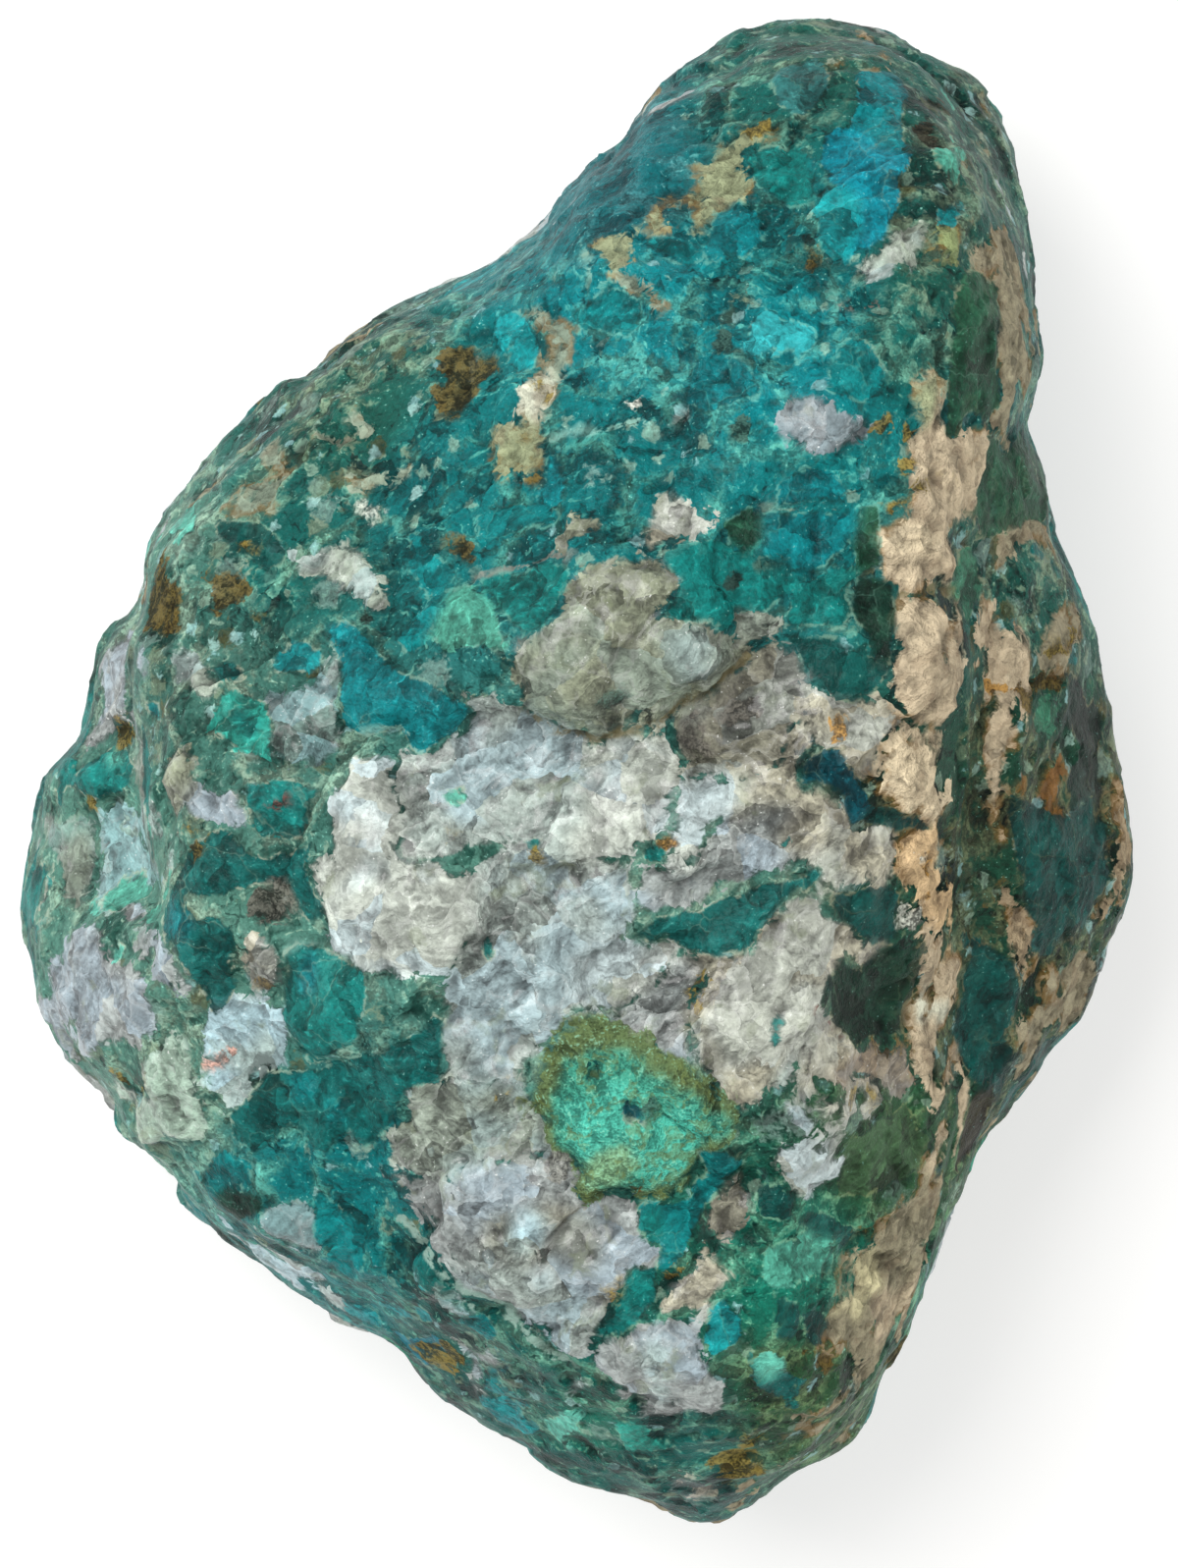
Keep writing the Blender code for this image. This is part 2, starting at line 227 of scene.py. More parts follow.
# The tone, the place and reach of each zone, and how much pale and rusty grit is mixed into it.
GROUND_ZONES = (
    ("dull_green", 12.0, 37.0, 3.5, 0.6), ("dusky", 1.5, 30.5, 4.5, 0.2), ("sea_green", 9.5, 34.0, 3.0, 0.5),
    ("teal", 9.5, 27.5, 3.5, 0.4), ("dull_green", 19.5, 31.5, 3.0, 0.8), ("dull_green", 18.5, 25.5, 3.0, 0.6),
    ("sea_green", 16.5, 21.5, 2.6, 0.5), ("turquoise", 3.0, 22.5, 4.5, 0.5),
    ("turquoise", 10.0, 20.5, 4.5, 0.5),
    ("teal", 2.5, 16.0, 5.0, 0.45), ("teal", 12.0, 15.0, 4.0, 0.35), ("teal", -6.0, 14.5, 5.0, 0.5),
    ("dull_green", -11.5, 18.5, 4.5, 1.0), ("sea_green", -15.5, 11.5, 4.0, 0.9),
    ("sage", -20.0, 12.5, 3.0, 0.6),
    ("grey_green", -19.0, 4.0, 4.0, 0.8), ("sage", -25.5, -4.5, 4.5, 0.5), ("sage", -20.5, -12.0, 5.0, 0.8),
    ("teal", -12.0, -21.0, 4.5, 0.6), ("sea_green", -6.0, -29.0, 5.0, 0.6),
    ("sea_green", 4.0, -35.0, 4.5, 0.6), ("teal", -11.0, -27.5, 3.0, 0.3), ("jade", 1.5, -33.5, 2.5, 0.5),
    ("jade", 10.5, -25.5, 4.0, 0.6), ("moss", 11.5, -31.5, 3.5, 0.9), ("moss", 15.5, -19.5, 3.0, 0.6),
    ("dark", 20.0, -3.0, 4.0, 0.7), ("dull_green", 22.5, 11.0, 4.5, 1.0), ("dark", 24.5, 0.0, 4.0, 1.0),
    ("dark", 22.5, -12.0, 4.0, 1.0), ("sage", 0.0, -8.0, 6.0, 0.5),
)

ZONE_CORE = 0.02

zone_weights = np.array([
    1.0 / (ZONE_CORE + (np.hypot(plan[:, 0] - x, plan[:, 1] - y) / reach) ** 4)
    for _, x, y, reach, _ in GROUND_ZONES
])
zone_weights /= zone_weights.sum(axis=0)
main_tones, dark_tones, pale_tones = (
    zone_weights.T @ np.array([paint(GROUND_TONES[zone[0]][tone]) for zone in GROUND_ZONES])
    for tone in range(3)
)
grit = zone_weights.T @ np.array([zone[-1] for zone in GROUND_ZONES])


# ---- Quartz ----
# Pale, glassy quartz fills the middle of the broken face and the gaps between the green fragments. It
# is many interlocked grains, so it breaks in small flat faces, milky at the edges and grey in the clear.
QUARTZ_TINTS = {
    "milky": "#bac6c3", "frosty": "#a9c3c6", "haze": "#7f8b8d", "grey": "#9aabab", "cream": "#aaab9d",
    "lilac": "#96a2a6", "smoky": "#84867b", "sage": "#858f7e", "pale_green": "#a4b9a4",
    "glassy": "#728f8d", "brown": "#8d806c", "dove": "#95a59d", "sea": "#7ba093", "mist": "#89adaa",
}
quartz = Patches(QUARTZ_TINTS, "grey", vein(1, 9.0, 0.22))
for tint, lift, outline in (
    ("grey", 0, [(-9, 1.6), (-8.4, 0.9), (-7.4, 0.7), (-5.3, 3.1), (-5.6, 4), (-4.6, 4.2), (1.6, 0.6),
     (1.6, -1.4), (0.8, -3), (-1.2, -3.6), (-3.4, -3.4), (-5.6, -3.8), (-8, -4.9), (-9.4, -4.6)]),
    ("grey", 0, [(-5.2, -5.2), (-3.4, -3.6), (0.4, -3.2), (1.4, -4.6), (2.6, -5), (3, -7.2), (2.4, -8.8),
     (3.4, -10.2), (2.4, -11.8), (-1, -12.6), (-2.6, -14.2), (-3.4, -16), (-6.6, -15.4), (-7.2, -11.6),
     (-5.6, -9)]),
    ("smoky", 0, [(5.2, 2.8), (9.8, 6.1), (10.9, 6), (12.6, 4.4), (11.6, 3.4), (10.2, 0.4), (8.6, -0.4),
     (5.4, -0.6)]),
    ("cream", 0, [(11.5, 5.3), (13.6, 3.5), (15, 3.9), (16.2, 3.4), (16.6, 2.3), (15.6, 1.4), (15.3, 0),
     (14.6, -0.2), (13.2, 1.2), (12.2, 1.2), (11.4, 0.2), (11.6, -0.8), (13.4, -1.2), (14.2, -2.8),
     (16.3, -3.3), (15.7, -4.8), (15.9, -5.6), (14.6, -5.4), (12.4, -6.6), (12.6, -5), (11.6, -4.8),
     (9.6, -5.2), (8, -3.8), (7.4, -1.8), (8.6, -0.4), (10.2, 0.4), (11, 2)]),
    ("lilac", 0, [(7.6, -2.6), (9.8, -1.6), (11, -2), (10.6, -3.4), (11.4, -4.6), (3.4, -7.4), (3, -6.2),
     (3.4, -5.2), (5, -5.2)]),
    ("milky", 0, [(4.8, -0.8), (6.6, -0.4), (9.2, -0.6), (8.6, -1.6), (7, -2.6), (5.6, -5.4), (4.8, -4.6)]),
    ("milky", 0, [(0, 1.2), (4.6, 2), (5.3, 1), (4.6, -3), (3.2, -3.6), (2, -4.8), (0.4, -5.2),
     (-0.4, -3.4), (0.4, -1.2)]),
    ("milky", 0, [(5.4, -9), (3.6, -11.4), (1.4, -12.4), (0, -12.4), (-0.6, -10), (1, -8.4)]),
    ("lilac", 0, [(1.2, -12.5), (3.6, -11.2), (5.2, -9.8), (6.4, -9.6), (5.6, -13.2), (6, -14.4),
     (5.4, -15)]),
    ("cream", 0, [(5.6, -9.2), (7.4, -9.8), (8.8, -9), (9.8, -7.4), (11.4, -6.6), (12.6, -6.8),
     (14.4, -8.8), (15.4, -8.8), (15, -9.7), (13.4, -9.8), (12.6, -11.6), (14, -14.4), (14, -15.8),
     (10.8, -15), (8.6, -17.4), (6, -15), (5.6, -13), (6.2, -11)]),
    ("cream", 0, [(9.2, -8.8), (10.6, -7.2), (12, -7.4), (12.8, -8.8), (11.6, -11.8), (10.2, -11.6),
     (9.4, -10.2)]),
    ("brown", 0, [(15.2, -13.9), (16.8, -13.8), (17, -15), (17.6, -15.8), (16.4, -16.2), (13.4, -16.2),
     (13.2, -15.2)]),
    ("dove", 0, [(-8.6, -16.4), (-7, -15.8), (-6.6, -14.9), (-3.2, -15.6), (-0.9, -19), (-1.8, -19.6),
     (-3.6, -19.6), (-6.8, -21), (-8.4, -20.6), (-9.6, -19.8), (-9.4, -18)]),
    ("lilac", 0, [(-9.4, -20.4), (-7.4, -20.9), (-1.2, -19.4), (-0.2, -20.4), (-0.3, -21.4), (0.6, -21.8),
     (2.6, -21.8), (3.1, -22.6), (3.1, -23.6), (4.1, -24.4), (4.1, -25.2), (2.8, -25.3), (1.1, -28.2),
     (0.9, -29.2), (-0.6, -29.6), (-5.6, -26.2)]),
    ("grey", 0, [(-6.4, -24.6), (-4.6, -24.4), (-0.6, -26.2), (1, -27.4), (0.9, -29), (-0.6, -29.4),
     (-5.6, -26)]),
    ("lilac", 0, [(-1.6, -21.6), (2.4, -22), (3.4, -24.6), (2.4, -25.4), (-0.6, -24.2), (-1.8, -23)]),
    ("smoky", 0, [(-4.4, -22.4), (-1.8, -22), (0.6, -22.6), (1.6, -24.4), (0.2, -25.4), (-2.4, -25.2),
     (-4.8, -24.2)]),
    ("frosty", 0.2, [(-3.6, -23.6), (-2.3, -22.4), (-1.7, -23.3), (-2.1, -24.5), (-2.9, -24.9)]),
    ("smoky", 0, [(6.1, -22.9), (8.1, -20.4), (8.8, -21.6), (8.5, -23.2), (7.6, -24), (6.6, -23.8)]),
    # Lumps that stand out of the broken face.
    ("milky", 0.25, [(-12.3, -1.6), (-11.4, 0.2), (-10.2, 0.8), (-9.2, 0.2), (-8.9, -1.2), (-9.4, -4.4),
     (-5.1, -5.3), (-5.3, -8.4), (-6.8, -10.3), (-8.4, -10.6), (-10.6, -10.2), (-12.6, -9), (-13, -6.2),
     (-13.8, -5), (-12.4, -4.6)]),
    ("sage", 0.15, [(0.3, 9.8), (4, 10.7), (5.1, 9.4), (4.3, 7.8), (5.4, 7.8), (7.9, 6.9), (8.3, 6.3),
     (9.2, 6.1), (6.6, 3.6), (4.4, 2.2), (0.9, 1.4), (-2, 2.5), (-3.1, 3.4), (-2.8, 4.6), (-3.4, 5.6),
     (-3, 6.8), (-1.6, 6.9)]),
    ("dove", 0, [(4.4, 7.7), (7.9, 6.8), (8.2, 6), (6.2, 3.8), (4.4, 5.8)]),
    ("dove", 0, [(8.1, 8), (9.4, 8.5), (10.6, 7.2), (10.1, 6.7), (8.3, 6.4)]),
    ("lilac", 0.4, [(1.2, -29.3), (3.6, -28.2), (6, -28.6), (7.5, -32), (7.2, -32.8), (6, -33),
     (3.6, -32.5), (0.8, -30)]),
    ("frosty", 0, [(3.4, -29.2), (4.8, -29), (4.2, -32.3), (3.6, -31.8), (3.2, -30.4)]),
    ("cream", 0.3, [(6.6, -24.4), (8, -25.7), (6.9, -26.8), (6.5, -28), (4.4, -27.4), (4.7, -26.5)]),
    ("milky", 0.4, [(9.9, -19.7), (10.6, -19.2), (12.6, -18.9), (13.2, -19.8), (12.9, -20.8), (11.6, -21.7),
     (10.2, -20.5)]),
    ("grey", 0.5, [(10.6, -17), (11.4, -16.6), (12, -17.2), (11.8, -18.6), (11.1, -18.1)]),
    ("cream", 0.5, [(12.2, -17), (14.1, -16.1), (15.3, -16.4), (15.2, -17.3), (14.6, -18), (12.8, -17.8)]),
    ("cream", 0.3, [(11.2, -15.2), (12, -15.6), (12.2, -16.2), (11.6, -16.5), (11, -15.9)]),
    ("frosty", 0.3, [(10, -15.1), (10.9, -15), (11.1, -16.3), (10.2, -16)]),
    ("cream", 0.3, [(12.2, -18.3), (13.2, -18), (13.3, -18.8), (12.4, -19.2)]),
    # Small quartz fragments among the green.
    ("sea", 0, [(-27.6, -1.8), (-25.4, -2.4), (-24.8, -3.6), (-26.2, -4.6), (-28, -4.4), (-28.4, -3)]),
    ("sage", 0, [(-26.2, -3.4), (-24.9, -3), (-24.4, -5.2), (-25.2, -6.8), (-26.4, -6.2), (-26.6, -4.8)]),
    ("mist", 0, [(-24.2, -2), (-22.6, -1.6), (-21.9, -3.2), (-22, -5.4), (-22.8, -7.6), (-23.6, -8.2),
     (-24.2, -5.6)]),
    ("sage", 0, [(-21.6, 0.8), (-19.6, 1.2), (-19.2, -0.2), (-20.6, -3.4), (-21.4, -1.6)]),
    ("haze", 0, [(10, 18.2), (11.2, 19), (12.9, 18.8), (15.1, 17.4), (14.8, 16.9), (11.9, 15.9)]),
    ("cream", 0.1, [(4, 13.9), (4.9, 14.1), (6.3, 12.9), (7.4, 13), (6.9, 12.5), (6, 12.4), (6.1, 11.9),
     (3.4, 11.1), (3.2, 12)]),
    ("sage", 0, [(-0.9, 11.9), (-0.3, 12.9), (1, 12.4), (-0.7, 11.3)]),
    ("dove", 0.2, [(15.2, 26), (15.8, 27), (17.6, 28.1), (18, 27.3), (17.2, 25.9)]),
    ("dove", 0, [(14.2, 25.7), (15.2, 26), (15.6, 25.4), (14.6, 25.2)]),
    ("dove", 0, [(-14.5, 10.9), (-11.9, 11.3), (-11, 10.9), (-9.9, 9.4), (-10, 8.4), (-13.2, 10.1),
     (-14.2, 10.2)]),
    ("glassy", 0.2, [(-15.9, 4.1), (-14.2, 4.2), (-12.4, 5.7), (-11.9, 1.6), (-13.2, 0.4), (-14.6, 0.2),
     (-15.3, 0.9)]),
    ("lilac", 0, [(-25.4, 1.6), (-24.6, 5.9), (-22.5, 7.5), (-21.9, 3.4), (-22.4, 2.3)]),
    ("dove", 0, [(-20.8, 6), (-19.6, 6.2), (-18.5, 4.6), (-18.9, 3.8), (-20, 4), (-20.8, 5)]),
    ("lilac", 0, [(-19.8, -1.4), (-18.8, -0.6), (-17.4, -1), (-17, -3.1), (-19.4, -2.4)]),
    ("cream", 0, [(-17.1, -8.4), (-15.9, -8.6), (-15.3, -9.4), (-15.2, -10.8), (-16, -11.3),
     (-16.9, -10.6)]),
    ("lilac", 0, [(-22.4, -7.6), (-21.5, -8), (-19.3, -11.4), (-20.2, -11.4), (-22.4, -8.8)]),
    ("lilac", 0.2, [(-26.8, -9.6), (-25.6, -8.8), (-24.2, -8.5), (-23.2, -9.4), (-22.2, -9.6), (-21.6, -11),
     (-21.5, -12.6), (-22.2, -13.6), (-25.2, -14.8), (-26.6, -13.6), (-27.2, -11.6)]),
    ("frosty", 0.1, [(-19, -12.3), (-17.6, -11.4), (-15.1, -12.2), (-14.6, -13.8), (-14.8, -14.9),
     (-18, -17.3), (-18.7, -16.2), (-18.4, -15.2), (-19.2, -13.2)]),
    ("pale_green", 0.3, [(-21.7, -14.2), (-20.8, -13.5), (-19.5, -15.4), (-18.9, -18.4), (-20, -19),
     (-21, -18.8), (-22.2, -19.6), (-23.4, -18.4)]),
    ("frosty", 0, [(-20.4, -20.6), (-19.9, -22.3), (-19, -23.3), (-16.2, -23.6), (-14.8, -25),
     (-12.2, -26.4), (-9, -29.6), (-11.6, -28.6), (-20.8, -23.6), (-21.4, -21.6)]),
    ("glassy", 0, [(-7.6, -26.9), (-6.4, -26.8), (-5.5, -27.2), (-5.7, -27.9), (-6.9, -27.8)]),
    ("glassy", 0, [(-15.7, -22.3), (-14.6, -22), (-13.8, -22.6), (-13.6, -24), (-14.6, -24.2),
     (-15.6, -23.4)]),
    ("grey", 0, [(-6, -29.2), (-4.4, -31), (-4, -32.6), (-4.7, -32.9)]),
    ("frosty", 0, [(-0.9, -31.2), (-0.2, -31.6), (-0.1, -32.6), (-0.6, -32.3)]),
    ("cream", 0, [(4.5, -36.3), (5.4, -35.9), (6.6, -36), (6.7, -36.9), (5.3, -37.3), (4.5, -36.9)]),
):
    quartz.add(tint, outline, lift)
quartz.settle(5)


# ---- The tan vein ----
# Iron-stained, sandy quartz in rounded nodules along the steep right side, with thin streaks of the
# same through the green. It is dull and grainy, cream where fresh and ochre where it is weathered.
TAN_TINTS = {
    "sand": "#b5a68c", "cream": "#c8b99c", "chalk": "#c6c8b4", "honey": "#c6ab84", "olive": "#8d9473",
    "drab": "#8f8871", "grey": "#83917f", "brown": "#98886e", "straw": "#bfb893", "rusty": "#7d5a34",
    "green": "#7d8a5e",
}
tan = Patches(TAN_TINTS, "drab", vein(2, 7.0, 0.46))
for tint, lift, outline in (
    ("sand", 0.3, [(17.3, 19.8), (18.5, 20.2), (18.8, 16.9), (19.4, 17), (19.9, 18.1), (20, 16.9),
     (20.7, 15.6), (19.7, 14.9), (20.2, 12.5), (19.3, 11.9), (18.5, 9.6), (17.4, 9.1), (16.2, 9.4),
     (15.3, 10.7), (15, 12.1), (17.1, 13.3)]),
    ("olive", 0, [(17.3, 19.8), (18.5, 20.2), (18, 17.6), (17.2, 17.4)]),
    ("cream", 0, [(15.4, 12.2), (16.6, 12.9), (18.4, 12), (17.6, 10.8), (16.2, 10.8)]),
    ("sand", 0.4, [(16.2, 9), (18.6, 8.5), (19.6, 4.4), (19.4, 3), (18.6, 2.2), (16.6, 2.6), (16.1, 3.6)]),
    ("cream", 0.4, [(15.3, -0.6), (16.4, 2), (17.6, 0.9), (18.5, 1), (18.3, -1.6), (17.2, -2),
     (15.9, -1.8)]),
    ("sand", 0, [(17.4, 0.9), (18.6, 1), (19, 2), (17, 2), (16.8, 1.3)]),
    ("honey", 0.15, [(15.8, -4.8), (16.6, -3.4), (18.3, -2.1), (18.9, -2.8), (18.7, -8.2), (17.9, -8.2)]),
    ("sand", 0.15, [(17.6, -8.3), (18.7, -8.6), (18.8, -9.8), (18, -11.3), (18.3, -12), (18.1, -13),
     (18.6, -13.6), (19.2, -17.4), (18.4, -22.4), (18.6, -23.6), (17.8, -23.2), (17.6, -19.8), (18.3, -19),
     (18.4, -17.6), (17.9, -16), (17.2, -15.2), (16.8, -13.7)]),
    ("chalk", 0, [(17, -11.9), (17.6, -11.2), (18.1, -11.8), (18, -12.8), (17.2, -12.6)]),
    ("drab", 0.2, [(21, 26.6), (22.2, 27.2), (22.8, 28.6), (23.6, 26.8), (24.6, 21), (23.4, 17.9),
     (22.2, 18.1), (21.4, 17), (20.6, 17.2), (20.2, 18.3), (21, 19.2), (21.5, 23), (20.8, 25.2)]),
    ("drab", 0, [(22.8, 29.6), (22, 29.2), (21.6, 28), (22.4, 27.8), (23.2, 28.6)]),
    ("sand", 0.3, [(20.2, 7), (21.3, 8.4), (21.7, 7.8), (21.4, 7.2), (22.4, 7), (23, 6.2), (21.5, -1),
     (21.9, -3.4), (21.5, -4), (21, -1.5), (21, 4)]),
    ("drab", 0, [(22, 12.6), (23.4, 14), (24.4, 14.2), (24.6, 12.2), (21.5, 10.2)]),
    ("drab", 0, [(24, 6.8), (24.6, 8.2), (26, 8.2), (25.2, 6.2), (25.4, 4.4), (24.8, 4), (24, 4.6)]),
    ("brown", 0, [(21.4, -5.7), (21.9, -5.8), (22.2, -6.8), (23, -6.4), (23.2, -9.4), (22.4, -11.8),
     (21.8, -7.2), (21.3, -6.8)]),
    ("brown", 0, [(27.4, -0.4), (28.6, -2), (29.2, -4.4), (29, -6.4), (28, -7), (26.6, -6.6), (27.2, -5.4),
     (26.8, -1.8)]),
    ("drab", 0, [(22.2, -15.4), (22.6, -13.4), (24.3, -10.1), (25.6, -9.7), (27, -10.3), (26.8, -12),
     (24.6, -15), (23, -16.4)]),
    ("rusty", 0, [(22.6, -1.1), (23.6, 0), (24.7, 0.4), (24.8, -2.6), (23.6, -1.4)]),
    ("drab", 0, [(14, -24.8), (15.2, -24), (14.8, -22.9), (16, -22.8), (17.6, -20), (18.6, -20.8),
     (18.3, -23), (18.9, -23.8), (18.6, -26), (14.6, -34.6), (12.4, -35.3), (14.6, -31.4), (14.8, -30.2),
     (13.6, -29.2), (12.2, -29.8)]),
    ("straw", 0.2, [(13.2, -27.6), (14, -25.2), (14.9, -24.4), (15.7, -24.9), (15.5, -27), (14.2, -28.2)]),
    ("sand", 0, [(15.9, -29.2), (15.8, -26.6), (18.4, -24.2), (18.2, -26.6), (17.4, -28.6)]),
    ("chalk", 0.15, [(-1.3, 20.3), (-1.7, 17.8), (-2.2, 17.4), (-3.4, 17.4), (-2.9, 19.3)]),
    ("olive", 0, [(-1.7, 17.8), (-1.9, 15), (-3.9, 15.2), (-4.2, 15.8), (-3.8, 16.4), (-4.5, 16.7),
     (-4.4, 17.4)]),
    ("olive", 0, [(1, 27), (3.4, 27.2), (4.6, 29.2), (5.6, 29.4), (7.4, 31.6), (9.2, 33.1), (9.8, 32.4),
     (9.4, 31.8), (8.4, 31.6), (8.2, 30.6), (9.2, 30.2), (8.8, 29.2), (6.9, 28.4), (6.2, 27.4), (5.2, 27.2),
     (6.4, 28.8), (5.4, 29), (3, 26.6), (2.8, 25.8), (2, 25.3), (1.4, 25.8)]),
    ("grey", 0, [(2.2, 25.3), (3, 25), (4.4, 23.6), (4.4, 22.8), (3.8, 23)]),
    ("grey", 0, [(-2.4, 23.5), (-0.5, 23.2), (-0.2, 22.6), (-0.8, 20.2), (-1.6, 20.4), (-1.7, 22.4),
     (-2.4, 22.9)]),
    ("grey", 0, [(-17.4, 13.4), (-15.8, 15), (-14.4, 15.2), (-15.6, 13.5), (-16.6, 13)]),
    ("grey", 0, [(-13.4, 17.2), (-12.4, 17), (-11.2, 17.8), (-10.3, 17.8), (-10.5, 17.2), (-12.8, 16.4)]),
    ("grey", 0, [(-11.4, 14.9), (-8.7, 15.1), (-9, 14.8), (-11.3, 14.2)]),
    ("grey", 0, [(-16.4, 16.6), (-15.4, 17.4), (-14.8, 17.2), (-15.3, 16.4), (-14.8, 16), (-15.6, 15.8)]),
    ("drab", 0, [(8.7, -36.2), (9.8, -35.2), (11.2, -35), (10.9, -36.2), (9.6, -37.5), (8.6, -37.3)]),
    ("drab", 0, [(11.6, -33.2), (12.4, -32.8), (12.3, -34), (11.8, -34.6)]),
    ("green", 0, [(18.2, 27.5), (19.5, 27.5), (19.6, 26.2), (18.8, 26), (18.2, 26.4)]),
    ("grey", 0, [(21.4, 34), (21.9, 33.6), (21.4, 32.6), (20.8, 32.6), (20.6, 31.6), (19.8, 31.4)]),
    ("drab", 0, oval(15.5, 36.4, 0.6, 0.3, 15)),
    ("grey", 0, oval(13.0, 36.4, 0.5, 0.6)),
):
    tan.add(tint, outline, lift)
tan.settle()


# ---- The green crust ----
# A thin grainy crust of mint malachite over the lower quartz, thicker and olive at its rim. It sits on
# the quartz and is the roughest surface of the stone.
CRUST_TINTS = {
    "olive": "#5c7049", "green": "#439a84", "mint": "#4eb8a2", "pale": "#7aa67f",
}
crust = Patches(CRUST_TINTS, "green", vein(3, 6.0, 0.62))
for tint, lift, outline in (
    ("olive", 0.3, [(-1.2, -13.3), (-0.4, -12.8), (2.2, -12.8), (8, -16.6), (8.6, -17.6), (7.8, -19.2),
     (6.3, -19.5), (6.2, -20.4), (4.4, -21.7), (2, -21.4), (0.4, -21.7), (-0.4, -21.2), (-0.2, -20.2),
     (-1.8, -17.9), (-2.5, -17.6), (-2.6, -16.9)]),
    ("green", 0, [(-0.6, -14.8), (1, -14.2), (2.6, -14.6), (7.4, -17.4), (8, -18.2), (6.4, -19.2),
     (5.6, -20.6), (4, -21.3), (1, -21.3), (0, -20.6), (-1.6, -17.4)]),
    ("mint", 0.1, [(-0.8, -16.6), (2.8, -16), (4.4, -17), (6, -17.2), (7.2, -18.2), (6, -19.2),
     (5.2, -20.6), (4.2, -21.4), (4, -20.4), (2.6, -20.2), (1.2, -20.8), (0.2, -20.4)]),
    ("pale", 0, [(0, -20.6), (0.8, -19.4), (2.4, -18.8), (3.4, -19.6), (2.2, -20.8), (0.8, -21.2)]),
):
    crust.add(tint, outline, lift)
crust.settle(1)


